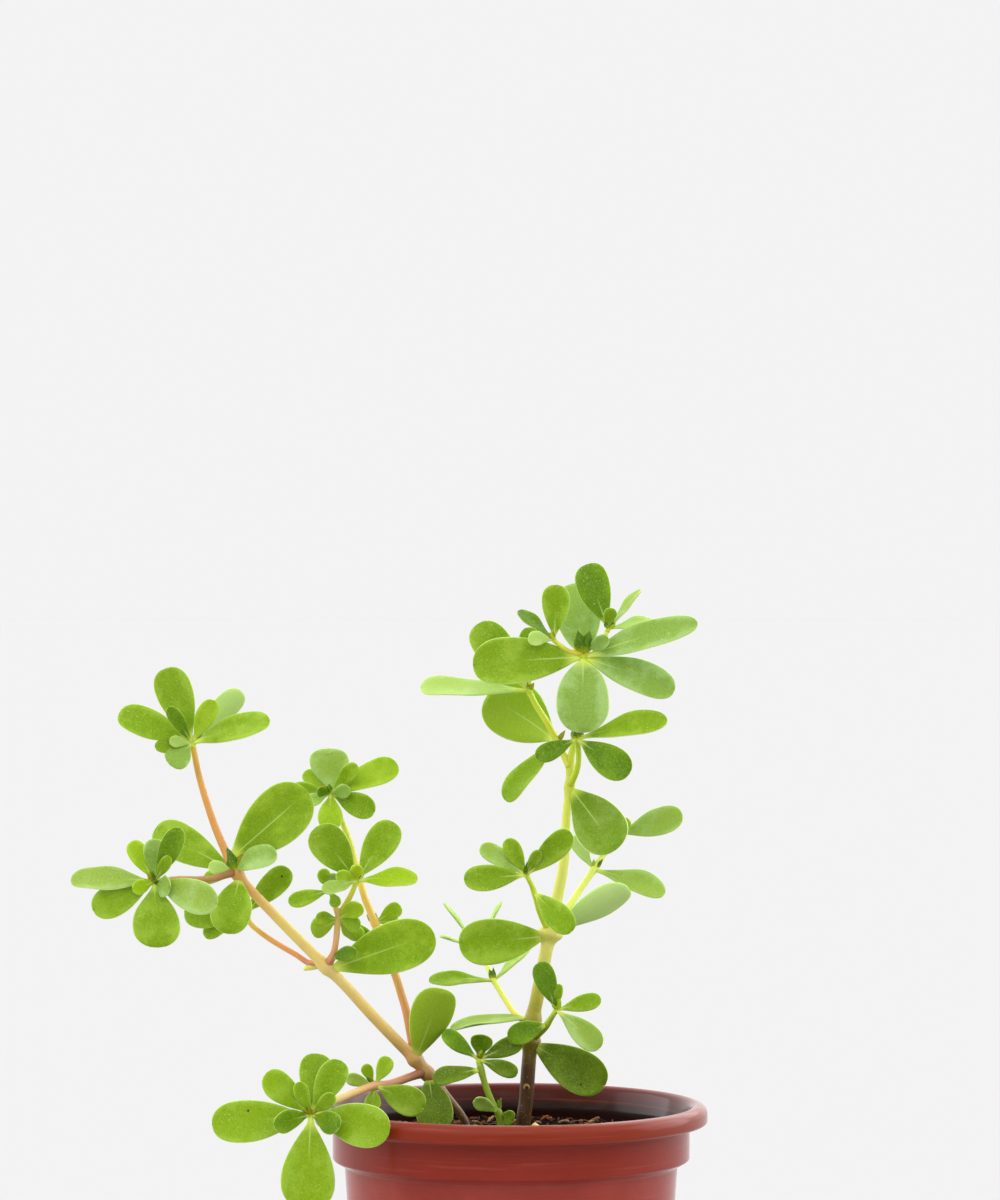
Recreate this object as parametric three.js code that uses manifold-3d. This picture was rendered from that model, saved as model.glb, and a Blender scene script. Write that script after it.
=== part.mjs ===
// Potted purslane: a succulent herb with two long stems, in a round nursery pot.
// Millimetres. +X is to the right, +Y to the back and +Z up, seen from the front.
// The origin is the centre of the pot's underside.

import * as THREE from 'three';
import { mergeVertices } from 'three/addons/utils/BufferGeometryUtils.js';
import Module from 'manifold-3d';

// ---------------------------------------------------------------- driving dimensions

// Pot
const POT_HEIGHT = 116;
const LIP_RADIUS = 65.5; // outermost, round the rolled lip
const LIP_HEIGHT = 6.5;
const LIP_OVERHANG = 6; // from the band out to the lip
const BAND_HEIGHT = 13; // plain upright band under the lip
const BAND_STEP = 4; // from the wall's top out to the band
const BASE_RADIUS = 49.5;
const BASE_ROUND = 2.5; // rounding between the underside and the wall
const LIP_CHAMFER = 1; // along the lip's lower outer edge
const POT_WALL = 1.6;
const POT_FLOOR = 2.4;
const DRAIN_COUNT = 6;
const DRAIN_RADIUS = 4.5;
const DRAIN_RING_RADIUS = 33;
const DRAIN_SIDES = 12;

// Soil
const SOIL_BELOW_LIP = 8.7; // the middle of the mound, below the lip's crest
const SOIL_EDGE_DROP = 5.5; // how much lower the soil is at the wall
// The mound's rise over the edge's level at shares of the soil's radius, both from 0 to 1
const MOUND = [[0.9, 0.55], [0.7, 0.85], [0, 1]];

// Plant
const STEM_GIRTH = 1; // factor on every stem radius in STEMS
const LEAF_THICKNESS = 1.3;
const LEAF_CUP = 0.12; // rise of a blade's edges, as a share of its width
const BLADE_WIDEST = 0.64; // the widest place of a plain blade, from base to tip
const BLADE_FULLNESS = 0.6; // less makes a blunter tip and a fuller base
const COLLAR = 1.1; // swelling that joins the leaves of one node, beyond the stem
const BLADE_INSET = 0.5; // where its blades start, as a share of the swelling's radius

const CLEARANCE = 0.3; // between any two neighbouring pieces

// The plant's points and leaf sizes below are drawn for a pot with this lip radius.
// A wider pot holds a plant that is larger in proportion.
const DRAWN_LIP_RADIUS = 65.5;
const PLANT_SCALE = LIP_RADIUS / DRAWN_LIP_RADIUS;

// How finely the round shapes are faceted
const POT_SIDES = 40;
const ROUND_STEPS = 3;
const STEM_SIDES = 8;
const STEM_STEP = 11; // length of one stem facet
const LEAF_SIDES = 6;
const LEAF_RINGS = 5;
const LEAF_RING_STEP = 7; // a shorter leaf has fewer rings
const COLLAR_RINGS = 4;

// ---------------------------------------------------------------- the plant's shape

// Each stem has the points of its centre line, [x, y, height above the soil], and its radii at
// even steps from base to tip. A branch starts on its parent's centre line, at a place counted in points.
const STEMS = {
  left_stem: {
    points: [
      [-9, 5, -24], [-14.5, 3, 0], [-21.5, 2, 10.5], [-27.5, 0, 18], [-32, -1, 23.5],
      [-37, -1, 28.5], [-46.5, -2, 38.5], [-55.5, -3, 48.5], [-65.5, -4, 58.5],
      [-75.5, -4, 68.5], [-87, -4, 80.5], [-92, -4, 87], [-97.5, -3, 98.5], [-101, -2, 108],
      [-104, -1, 118], [-106, 0, 127.5],
    ],
    radii: [1, 1.1, 1.9, 1.9, 1.8, 1.7, 1.5, 1.2, 1],
  },
  right_stem: {
    points: [
      [3, 2, -26], [4, 0, 1], [5, 0, 10], [6, 0, 23.5], [7.5, 1, 38], [8.5, 1, 43],
      [11.5, 2, 58], [12.5, 3, 63], [15, 4, 75], [17.5, 4, 88], [18.5, 5, 104], [19.5, 5, 114],
      [20, 5, 123], [21, 4, 129], [22.5, 2, 143], [24.2, 0, 158.5],
    ],
    radii: [2.6, 2.4, 2.1, 1.3, 1],
  },
  centre_stem: {
    points: [[-3, -2, -20], [-3.5, -5, 3], [-6.5, -6, 10], [-9, -7, 17], [-10.5, -8, 23]],
    radii: [1.3, 1],
  },
  middle_branch: {
    parent: 'left_stem',
    at: 4,
    points: [
      [-33.5, 2.5, 31], [-35, 5, 38.5], [-36.5, 7, 43.5], [-39.5, 9, 52.5], [-47.5, 14, 72],
      [-49.5, 15, 77], [-52.5, 18, 88], [-55, 19, 96.5], [-60.5, 19, 110],
    ],
    radii: [1.4, 1.3, 0.9],
  },
  left_front_branch: {
    parent: 'left_stem',
    at: 10.9,
    points: [[-98, -12, 84.5], [-103, -18, 84.5], [-109, -24, 85], [-115.5, -28, 84.5]],
    radii: [1.2, 1],
  },
  left_rear_branch: {
    parent: 'left_stem',
    at: 7.75,
    points: [[-67.5, 1, 55.5], [-72, 4, 58], [-80.5, 9, 62.5], [-87, 13, 67], [-89, 15, 70]],
    radii: [1, 0.9],
  },
  left_mid_branch: {
    parent: 'left_stem',
    at: 7.6,
    points: [[-59, -7, 59], [-58, -8, 64], [-57, -9, 71.5], [-53.5, -10, 78], [-51.5, -10, 82.5]],
    radii: [1.1, 0.9],
  },
  left_mid_twig: {
    parent: 'left_mid_branch',
    at: 3,
    points: [[-58.5, -11, 76], [-59.5, -12, 79.5]],
    radii: [0.9, 0.8],
  },
  lower_left_branch: {
    parent: 'left_stem',
    at: 3.2,
    points: [
      [-33.5, -5, 18], [-40, -12, 16.5], [-45, -17, 16.5], [-49.5, -23, 15.5], [-53.5, -29, 14.5],
      [-59, -36, 13], [-64, -43.5, 10.5],
    ],
    radii: [1.4, 1.3],
  },
  right_rear_branch: {
    parent: 'right_stem',
    at: 11.7,
    points: [[15.5, 7, 129], [12, 9, 135.5], [8.5, 11, 141], [6.5, 12, 145]],
    radii: [1.2, 1],
  },
  right_front_shoot: {
    parent: 'right_stem',
    at: 11,
    points: [[22, -1, 120], [22.5, -3, 125.5], [22, -6, 129.5]],
    radii: [1.1, 0.9],
  },
  right_side_branch: {
    parent: 'right_stem',
    at: 7.2,
    points: [[19.5, 6, 74], [23, 9, 79], [26.5, 11, 84], [31, 14, 90.5], [35.5, 17, 96.5]],
    radii: [1.2, 1],
  },
  right_left_shoot: {
    parent: 'right_stem',
    at: 7.2,
    points: [[9.5, -2, 72.5], [7.5, -5, 80], [5.5, -8, 84.5]],
    radii: [1, 0.8],
  },
  right_low_shoot: {
    parent: 'right_stem',
    at: 3.4,
    points: [[10.5, -5, 33.5], [13, -8, 37.5], [14.5, -10, 40]],
    radii: [1.1, 0.9],
  },
  low_rear_branch: {
    parent: 'right_stem',
    at: 3.7,
    points: [[1.5, 4, 38], [-2, 9, 42.5], [-5, 14, 47], [-7.5, 20, 51.5], [-11, 28, 58]],
    radii: [1, 0.8],
  },
  top_left_twig: {
    parent: 'right_stem',
    at: 15,
    points: [[20, -1, 159], [17.5, -2, 160.5], [15, -3, 162.5]],
    radii: [1, 0.8],
  },
  top_right_twig: {
    parent: 'right_stem',
    at: 15,
    points: [[28, 0, 158], [30, -1, 161.5], [32, -2, 166]],
    radii: [1, 0.8],
  },
};

// Each entry is one leaf, or the leaves that grow together at one node of a stem. With no place
// they are the tip of that stem. A leaf has its heading seen from the front (0 to the right, 90
// up), its lean towards the front, its length and width, how far its upper face is rolled up from
// the front, and how far it bends back from base to tip, in degrees and millimetres. A last number
// moves its widest place along the blade.
const LEAVES = {
  left_tip: {
    stem: 'left_stem',
    leaves: [
      [108, -8, 27, 12.5, 0, 15], [157, 5, 26.5, 11, 30, 10], [119, 32, 17, 5, 10, 0],
      [172, 35, 9, 4, 0, 0], [187, 20, 13, 5, 20, 0], [227, 30, 11.5, 9, 15, 10],
      [64, 15, 17, 7, 10, 0], [46, -20, 25, 10, 140, 10], [16.5, 12, 28, 11, 35, 15],
    ],
  },
  fork_leaves: {
    stem: 'left_stem',
    at: 10.9,
    leaves: [
      [23, 30, 19, 9, 35, 70], [165, 35, 11, 5, 20, 0], [192, 0, 11, 5, 20, 0],
      [120, 40, 8, 4.5, 0, 0], [70, 40, 8, 4, 0, 0], [155, -15, 32, 13, 10, 15],
    ],
  },
  fork_large_leaf: { stem: 'left_stem', at: 11.3, leaves: [[40, 5, 35, 19, 5, 20, 0.66]] },
  fork_hanging_leaf: { stem: 'left_stem', at: 10.6, leaves: [[260, 30, 21.5, 13.5, 0, 35]] },
  left_front_tip: {
    stem: 'left_front_branch',
    leaves: [
      [178, 10, 27.5, 10.5, 42, 10], [205, 15, 22.5, 10.5, 10, 10], [200, 45, 10, 5, 0, 0],
      [273, 20, 22.5, 15.5, 0, 20], [342, 25, 24.5, 11, 10, 15], [64, 15, 20.5, 7.5, 0, 10],
      [86, 10, 14.5, 8, 0, -20], [121, -10, 15.5, 6.5, 0, 0], [345, 50, 9, 7.5, 0, 0],
      [58, 28, 11.5, 4, 0, 0],
    ],
  },
  left_rear_tip: {
    stem: 'left_rear_branch',
    leaves: [[46, 5, 21.5, 9, 10, 10], [208, -5, 16, 6, 20, 0], [181, -8, 21, 11, 10, 10]],
  },
  middle_tip: {
    stem: 'middle_branch',
    leaves: [
      [92, -5, 15.5, 13.5, 0, -20], [140, -15, 12, 5.5, 10, 0], [172, 5, 13.5, 6, 20, 0],
      [200, 20, 9, 4.5, 0, 0], [22, 5, 25, 10.5, 35, 15], [47, 20, 14.5, 5.5, 10, 0],
      [15, 45, 10, 5, 0, 0], [341, 25, 18, 8.5, 0, 10], [272, 38, 15.5, 8.5, 0, 30],
      [163, 50, 7, 4, 0, 0],
    ],
  },
  middle_rear_leaves: {
    stem: 'middle_branch',
    at: 4.75,
    leaves: [[32, -10, 10.5, 5.5, 10, 0], [8, -5, 8, 4, 10, 0]],
  },
  left_mid_tip: {
    stem: 'left_mid_branch',
    leaves: [
      [126, 12, 23, 12.5, 0, 10], [59, 0, 23, 11, 0, 15], [2, 10, 20.5, 8.5, 45, 10],
      [90, 45, 8, 4.5, 0, 0], [190, 58, 21, 5.5, 40, 0], [160, 50, 11, 5, 0, 0],
    ],
  },
  left_mid_twig_tip: {
    stem: 'left_mid_twig',
    leaves: [
      [112, 30, 9, 4.5, 0, 0], [196, 20, 15, 5.5, 15, 10], [297, 35, 7, 4, 0, 0],
      [75, 30, 7, 4.5, 0, 0],
    ],
  },
  left_mid_leaves: {
    stem: 'left_mid_branch',
    at: 2.9,
    leaves: [
      [207, 5, 10, 8, 150, 10], [170, 35, 9, 4.5, 0, 0], [346, 25, 8.5, 5.5, 0, 10],
      [326, -28, 14.5, 5.5, 0, 0], [36, 42, 13, 6, 0, 0], [312, -25, 11, 7, 150, 0],
    ],
  },
  left_long_leaf: { stem: 'left_stem', at: 7.5, leaves: [[21, 14, 38.5, 17, 5, 10, 0.68]] },
  left_small_leaf: { stem: 'left_mid_branch', at: 0.7, leaves: [[20, 45, 13, 5, 0, 0]] },
  left_under_leaf: { stem: 'left_stem', at: 4, leaves: [[70, 25, 29, 14.5, 165, -10]] },
  left_folded_leaf: { stem: 'left_stem', at: 3, leaves: [[280, 30, 20.5, 12.5, 0, 20]] },
  lower_left_leaves: {
    stem: 'lower_left_branch',
    at: 3,
    leaves: [
      [116, 10, 8, 4, 0, 0], [61, -10, 10.5, 5.5, 0, 0], [264, 35, 9.5, 5.5, 0, 0],
      [337, 20, 19, 10, 10, 10], [160, 20, 10.5, 4.5, 0, 0],
    ],
  },
  lower_left_tip: {
    stem: 'lower_left_branch',
    leaves: [
      [186, 12, 32.5, 14, 10, 15], [186, 45, 16.5, 7.5, 0, 0], [138, 5, 20, 9.5, 0, 10],
      [112, 20, 12.5, 5, 0, 0], [83, -15, 20, 11, 0, 10], [62, 0, 20, 9.5, 0, 10],
      [42, 25, 11.5, 5, 0, 0], [351, 24, 28.5, 14, 10, 15], [343, 48, 15, 7.5, 0, 0],
      [267, 8, 30.5, 17.5, 0, 15],
    ],
  },
  top_buds: {
    stem: 'right_stem',
    leaves: [[25, 35, 11, 5, 0, 0], [115, 60, 7, 4.5, 0, 0], [65, 60, 7, 4.5, 0, 0]],
  },
  top_leaves: {
    stem: 'right_stem',
    at: 14.75,
    leaves: [
      [181, 8, 37.5, 16.5, 10, 25, 0.72], [343, 5, 32.5, 11, 20, 15],
      [19.5, 15, 41, 10.5, 25, 15, 0.56], [96, -36, 33, 15.5, 0, 10, 0.6],
      [268, 28, 26.5, 17.5, 0, 40, 0.68],
    ],
  },
  top_left_twig_tip: {
    stem: 'top_left_twig',
    leaves: [[85, 0, 18.5, 9.5, 0, 10], [141, 5, 15.5, 6.5, 50, 10], [172, 25, 9.5, 5, 0, 0]],
  },
  top_right_twig_tip: {
    stem: 'top_right_twig',
    leaves: [
      [111, -10, 23, 11.5, 0, 10], [86, 30, 8, 4.5, 0, 0], [50, -5, 17, 6, 65, 0],
      [10, -8, 15.5, 6, 55, 0],
    ],
  },
  right_rear_tip: {
    stem: 'right_rear_branch',
    leaves: [[128, -5, 28.5, 13, 0, 15], [90, -15, 22, 8, 0, 0], [178, 5, 36.5, 11, 122, 0, 0.8]],
  },
  right_rear_leaves: {
    stem: 'right_rear_branch',
    at: 1,
    leaves: [[146, -25, 32, 20, 170, 50], [227, -5, 26.5, 9, 30, 15]],
  },
  right_front_tip: {
    stem: 'right_front_shoot',
    leaves: [
      [12, 10, 31, 10, 50, 10], [326, 20, 22, 11, 0, 15], [205, 20, 16, 6.5, 10, 10],
      [90, 10, 5, 4, 0, 0],
    ],
  },
  right_cupped_leaf: { stem: 'right_stem', at: 11, leaves: [[309, 30, 29.5, 17.5, 0, -25]] },
  right_side_tip: {
    stem: 'right_side_branch',
    leaves: [[16, 10, 23, 9.5, 15, 10], [110, 5, 11.5, 5.5, 0, 0], [60, 35, 8, 4.5, 0, 0]],
  },
  right_side_leaves: {
    stem: 'right_side_branch',
    at: 3.3,
    leaves: [[343, 10, 25.5, 9.5, 45, 10], [122, -15, 13.5, 6, 150, 0]],
  },
  right_under_leaf: { stem: 'right_stem', at: 7.25, leaves: [[29, 18, 32, 11, 150, 0]] },
  right_left_tip: {
    stem: 'right_left_shoot',
    leaves: [
      [184, 15, 21.5, 9, 10, 10], [147, 0, 18, 6.5, 15, 5], [118, 10, 14, 6, 0, 0],
      [66, 30, 11, 4, 0, 0], [44, 20, 22, 8.5, 0, 10],
    ],
  },
  right_left_leaf: { stem: 'right_left_shoot', at: 1.9, leaves: [[316, 25, 19.5, 9, 0, 10]] },
  right_wide_leaf: { stem: 'right_stem', at: 7.15, leaves: [[185, 12, 31, 15.5, 0, 15]] },
  low_rear_tip: {
    stem: 'low_rear_branch',
    leaves: [[127, 0, 19, 3.5, 75, 0], [61, 0, 17.5, 3.5, 75, 0], [165, 0, 13.5, 3, 75, 0]],
  },
  low_rear_leaves: {
    stem: 'low_rear_branch',
    at: 3.3,
    leaves: [[180, 5, 22, 7.5, 60, 8], [42, -10, 17, 6, 65, 0]],
  },
  low_thin_leaf: { stem: 'right_stem', at: 3.9, leaves: [[187, 0, 28, 8, 72, 18]] },
  right_low_tip: {
    stem: 'right_low_shoot',
    leaves: [
      [110, 5, 17, 7.5, 0, 10], [83, 10, 9, 3, 0, 0], [14, 10, 15.5, 6, 15, 5],
      [322, 15, 19.5, 8.5, 0, 10],
    ],
  },
  right_low_leaf: { stem: 'right_low_shoot', at: 1.5, leaves: [[193, 25, 15, 7.5, 0, 10]] },
  right_base_leaf: { stem: 'right_stem', at: 3.35, leaves: [[331, 12, 29, 14.5, 0, 15]] },
  centre_tip: {
    stem: 'centre_stem',
    leaves: [
      [81, 20, 9.5, 7.5, 0, -40], [143, 0, 15, 6, 15, 5], [24, 5, 16, 6.5, 10, 10],
      [344, 20, 14.5, 5.5, 0, 5],
    ],
  },
  centre_leaf: { stem: 'centre_stem', at: 3.6, leaves: [[190, 10, 16.5, 7, 40, 10]] },
  centre_low_leaves: {
    stem: 'centre_stem',
    at: 1.3,
    leaves: [[146, 45, 13.5, 5, 0, 0], [338, 20, 6, 5.5, 0, 0]],
  },
};

// ---------------------------------------------------------------- colours

const COLOURS = {
  pot: 0x8c3c32,
  soil: 0x3a241a,
  stem: 0xb59a55,
  leaf: 0x7f9c38,
};

// ---------------------------------------------------------------- joining and cutting

const wasm = await Module();
wasm.setup();

// Deletes everything but the positions, merges the shared vertices and drops the empty triangles.
function toSolid(geometry) {
  geometry.deleteAttribute('normal');
  geometry.deleteAttribute('uv');
  const merged = mergeVertices(geometry, 1e-4);
  const index = merged.index.array;
  const triangles = [];
  for (let i = 0; i < index.length; i += 3) {
    const [a, b, c] = [index[i], index[i + 1], index[i + 2]];
    if (a !== b && b !== c && c !== a) triangles.push(a, b, c);
  }
  return new wasm.Manifold(new wasm.Mesh({
    numProp: 3,
    vertProperties: new Float32Array(merged.attributes.position.array),
    triVerts: new Uint32Array(triangles),
  }));
}

function toGeometry(solid) {
  const mesh = solid.getMesh();
  const geometry = new THREE.BufferGeometry();
  geometry.setAttribute('position', new THREE.BufferAttribute(mesh.vertProperties, 3));
  geometry.setIndex(new THREE.BufferAttribute(mesh.triVerts, 1));
  geometry.computeVertexNormals();
  return geometry;
}

// Moves every vertex of a geometry to place(x, y, z).
function reshape(geometry, place) {
  const position = geometry.attributes.position;
  const vertex = new THREE.Vector3();
  for (let i = 0; i < position.count; i += 1) {
    vertex.fromBufferAttribute(position, i);
    const moved = place(vertex);
    position.setXYZ(i, moved.x, moved.y, moved.z);
  }
  return geometry;
}

// ---------------------------------------------------------------- pot and soil

const lipBottom = POT_HEIGHT - LIP_HEIGHT;
const bandBottom = lipBottom - BAND_HEIGHT;
const bandRadius = LIP_RADIUS - LIP_OVERHANG;
const wallTopRadius = bandRadius - BAND_STEP;
const soilTop = POT_HEIGHT - SOIL_BELOW_LIP;

// The wall's outer radius at a height below the band.
function wallRadius(z) {
  return THREE.MathUtils.mapLinear(z, BASE_ROUND, bandBottom, BASE_RADIUS, wallTopRadius);
}

function lathe(profile) {
  return new THREE.LatheGeometry(profile, POT_SIDES).rotateX(Math.PI / 2);
}

// Points on a quarter circle from one angle to another, in degrees.
function arc(radius, height, size, from, to) {
  const points = [];
  for (let i = 0; i <= ROUND_STEPS; i += 1) {
    const angle = THREE.MathUtils.degToRad(from + ((to - from) * i) / ROUND_STEPS);
    const across = radius + size * Math.cos(angle);
    points.push(new THREE.Vector2(across, height + size * Math.sin(angle)));
  }
  return points;
}

function makePot() {
  const lipRound = LIP_HEIGHT / 2;
  const innerBand = bandRadius - POT_WALL;
  const innerLipEdge = LIP_RADIUS - LIP_OVERHANG / 2 - lipRound;
  const profile = [
    new THREE.Vector2(0, 0),
    ...arc(BASE_RADIUS - BASE_ROUND, BASE_ROUND, BASE_ROUND, -90, 0),
    new THREE.Vector2(wallTopRadius, bandBottom),
    new THREE.Vector2(bandRadius, bandBottom + BAND_STEP / 3),
    new THREE.Vector2(bandRadius, lipBottom),
    new THREE.Vector2(LIP_RADIUS - LIP_CHAMFER, lipBottom),
    new THREE.Vector2(LIP_RADIUS, lipBottom + LIP_CHAMFER),
    ...arc(LIP_RADIUS - lipRound, POT_HEIGHT - lipRound, lipRound, 0, 90),
    ...arc(innerLipEdge + lipRound, POT_HEIGHT - lipRound, lipRound, 90, 150),
    new THREE.Vector2(innerBand, lipBottom),
    new THREE.Vector2(innerBand, bandBottom + BAND_STEP / 3),
    new THREE.Vector2(wallTopRadius - POT_WALL, bandBottom - POT_WALL / 2),
    new THREE.Vector2(wallRadius(POT_FLOOR) - POT_WALL, POT_FLOOR),
    new THREE.Vector2(0, POT_FLOOR),
  ];
  let pot = toSolid(lathe(profile));
  for (let i = 0; i < DRAIN_COUNT; i += 1) {
    const angle = (2 * Math.PI * (i + 0.5)) / DRAIN_COUNT;
    const hole = new THREE.CylinderGeometry(DRAIN_RADIUS, DRAIN_RADIUS, 3 * POT_FLOOR, DRAIN_SIDES);
    hole.rotateX(Math.PI / 2);
    hole.translate(DRAIN_RING_RADIUS * Math.cos(angle), DRAIN_RING_RADIUS * Math.sin(angle), 0);
    pot = pot.subtract(toSolid(hole));
  }
  return pot;
}

// The soil fills the pot and rises in a mound from the wall to the middle.
function makeSoil(stemHoles) {
  const edge = soilTop - SOIL_EDGE_DROP;
  const wall = POT_WALL + CLEARANCE;
  const bottom = POT_FLOOR + CLEARANCE;
  const bandInner = bandRadius - wall;
  const profile = [
    new THREE.Vector2(0, bottom),
    new THREE.Vector2(wallRadius(bottom) - wall, bottom),
    new THREE.Vector2(wallTopRadius - wall, bandBottom - POT_WALL / 2),
    new THREE.Vector2(bandInner, bandBottom + BAND_STEP / 3 + CLEARANCE),
    new THREE.Vector2(bandInner, edge),
    ...MOUND.map(([share, rise]) => (
      new THREE.Vector2(bandInner * share, edge + SOIL_EDGE_DROP * rise))),
  ];
  return toSolid(lathe(profile)).subtract(stemHoles);
}

// ---------------------------------------------------------------- stems

const curves = {};

function stemCurve(name) {
  if (!curves[name]) {
    const { parent, at, points } = STEMS[name];
    const line = points.map(([x, y, z]) => new THREE.Vector3(x, y, z).multiplyScalar(PLANT_SCALE));
    for (const point of line) point.z += soilTop;
    if (parent) line.unshift(stemPoint(parent, at));
    curves[name] = new THREE.CatmullRomCurve3(line, false, 'catmullrom');
  }
  return curves[name];
}

// A place on a stem's centre line, counted in its points.
function stemPlace(name, at) {
  const curve = stemCurve(name);
  const last = curve.points.length - 1;
  return (at ?? last) / last;
}

function stemPoint(name, at) {
  return stemCurve(name).getPoint(stemPlace(name, at));
}

function stemTangent(name, at) {
  return stemCurve(name).getTangent(stemPlace(name, at));
}

function stemRadius(name, place) {
  const { radii } = STEMS[name];
  const step = Math.min(Math.floor(place * (radii.length - 1)), radii.length - 2);
  const share = place * (radii.length - 1) - step;
  return THREE.MathUtils.lerp(radii[step], radii[step + 1], share) * STEM_GIRTH * PLANT_SCALE;
}

// A closed tapering tube along the stem's centre line. The extra size goes on all round.
function stemTube(name, extra) {
  const curve = stemCurve(name);
  const steps = Math.max(2, Math.round(curve.getLength() / (STEM_STEP * PLANT_SCALE)));
  const frames = curve.computeFrenetFrames(steps, false);
  const cylinder = new THREE.CylinderGeometry(1, 1, 1, STEM_SIDES, steps);
  return reshape(cylinder, ({ x, y, z }) => {
    const step = Math.round((y + 0.5) * steps);
    const place = step / steps;
    const radius = stemRadius(name, place) + extra;
    const point = curve.getPointAt(place);
    if (step === 0) point.addScaledVector(frames.tangents[step], -extra);
    if (step === steps) point.addScaledVector(frames.tangents[step], extra);
    point.addScaledVector(frames.normals[step], x * radius);
    return point.addScaledVector(frames.binormals[step], -z * radius);
  });
}

// Each stem is cut back from the stems before it, so that a branch ends at its parent's skin.
function makeStems() {
  const stems = {};
  let grown = null;
  for (const name of Object.keys(STEMS)) {
    const solid = toSolid(stemTube(name, 0));
    const space = toSolid(stemTube(name, CLEARANCE));
    stems[name] = grown ? solid.subtract(grown) : solid;
    grown = grown ? grown.add(space) : space;
  }
  return { stems, grown };
}

// ---------------------------------------------------------------- leaves

// The half width of a blade, from 0 to 1, at a place from its base to its tip: a wedge that
// widens from the stalk to its widest place, and a round tip.
function bladeOutline(place, widest) {
  const stretch = Math.log(0.5) / Math.log(widest);
  return Math.sin(Math.PI * place ** stretch) ** BLADE_FULLNESS;
}

// One leaf blade as a flattened, bent and cupped ball with its poles at the base and the tip.
function leafBlade(start, inset, row) {
  const [heading, lean, reach, width, roll, bend, widest = BLADE_WIDEST] = row;
  const length = reach - inset / PLANT_SCALE;
  const { degToRad } = THREE.MathUtils;
  const [turn, tilt, spin] = [heading, lean, roll].map(degToRad);
  const along = new THREE.Vector3(
    Math.cos(tilt) * Math.cos(turn),
    -Math.sin(tilt),
    Math.cos(tilt) * Math.sin(turn),
  );
  const front = new THREE.Vector3(0, -1, 0);
  const facing = front.clone().addScaledVector(along, -front.dot(along)).normalize();
  const side = Math.cos(turn) < 0 ? -1 : 1;
  const up = facing.clone().cross(along).multiplyScalar(side);
  const normal = facing.clone().multiplyScalar(Math.cos(spin)).addScaledVector(up, Math.sin(spin));
  const across = along.clone().cross(normal);
  const rings = Math.min(LEAF_RINGS, 2 + Math.round(length / LEAF_RING_STEP));
  const arch = degToRad(bend) || 1e-6;
  const ball = new THREE.SphereGeometry(1, LEAF_SIDES, rings);
  return reshape(ball, ({ x, y, z }) => {
    const place = (1 + y) / 2;
    const ring = Math.hypot(x, z) || 1;
    const outline = y * y < 1 ? bladeOutline(place, widest) : 0;
    const sideways = (x / ring) * outline * (width / 2);
    const thick = (z / ring) * Math.sqrt(outline) * (LEAF_THICKNESS / 2);
    const forward = (length / arch) * (Math.sin(arch / 2) - Math.sin(arch / 2 - arch * place));
    const rise = (length / arch) * (Math.cos(arch / 2 - arch * place) - Math.cos(arch / 2));
    const cup = (LEAF_CUP * 4 * sideways * sideways) / width;
    const point = start.clone();
    point.addScaledVector(along, inset + forward * PLANT_SCALE);
    point.addScaledVector(across, sideways * PLANT_SCALE);
    return point.addScaledVector(normal, thick + (rise + cup) * PLANT_SCALE);
  });
}

// The leaves of one node with the swelling that joins them, cut back from the stems.
function makeLeaves(name, grownStems) {
  const { stem, at, leaves } = LEAVES[name];
  const start = stemPoint(stem, at);
  const swelling = stemRadius(stem, stemPlace(stem, at)) + CLEARANCE + COLLAR * PLANT_SCALE;
  if (at === undefined) start.addScaledVector(stemTangent(stem), swelling / 2);
  const inset = leaves.length > 1 ? swelling * BLADE_INSET : 0;
  const blades = leaves.map((row) => toSolid(leafBlade(start, inset, row)));
  let solid = blades.reduce((joined, blade) => joined.add(blade));
  if (leaves.length > 1) {
    const ball = new THREE.SphereGeometry(swelling, LEAF_SIDES, COLLAR_RINGS);
    solid = solid.add(toSolid(ball.translate(start.x, start.y, start.z)));
  }
  return solid.subtract(grownStems);
}

// ---------------------------------------------------------------- the assembly

const group = new THREE.Group();

function addPiece(name, solid, color, roughness) {
  const material = new THREE.MeshStandardMaterial({ color, roughness, metalness: 0 });
  const mesh = new THREE.Mesh(toGeometry(solid), material);
  mesh.name = name;
  group.add(mesh);
}

const { stems, grown } = makeStems();
addPiece('pot', makePot(), COLOURS.pot, 0.55);
addPiece('soil', makeSoil(grown), COLOURS.soil, 0.95);
for (const name of Object.keys(STEMS)) {
  addPiece(name, stems[name], COLOURS.stem, 0.5);
}
for (const name of Object.keys(LEAVES)) {
  addPiece(name, makeLeaves(name, grown), COLOURS.leaf, 0.45);
}

export default group;
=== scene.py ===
"""Looks for the potted purslane: fine leaves, stems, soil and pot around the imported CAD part."""

import math
import random

import bmesh
import bpy
import numpy as np
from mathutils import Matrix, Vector, noise

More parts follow.
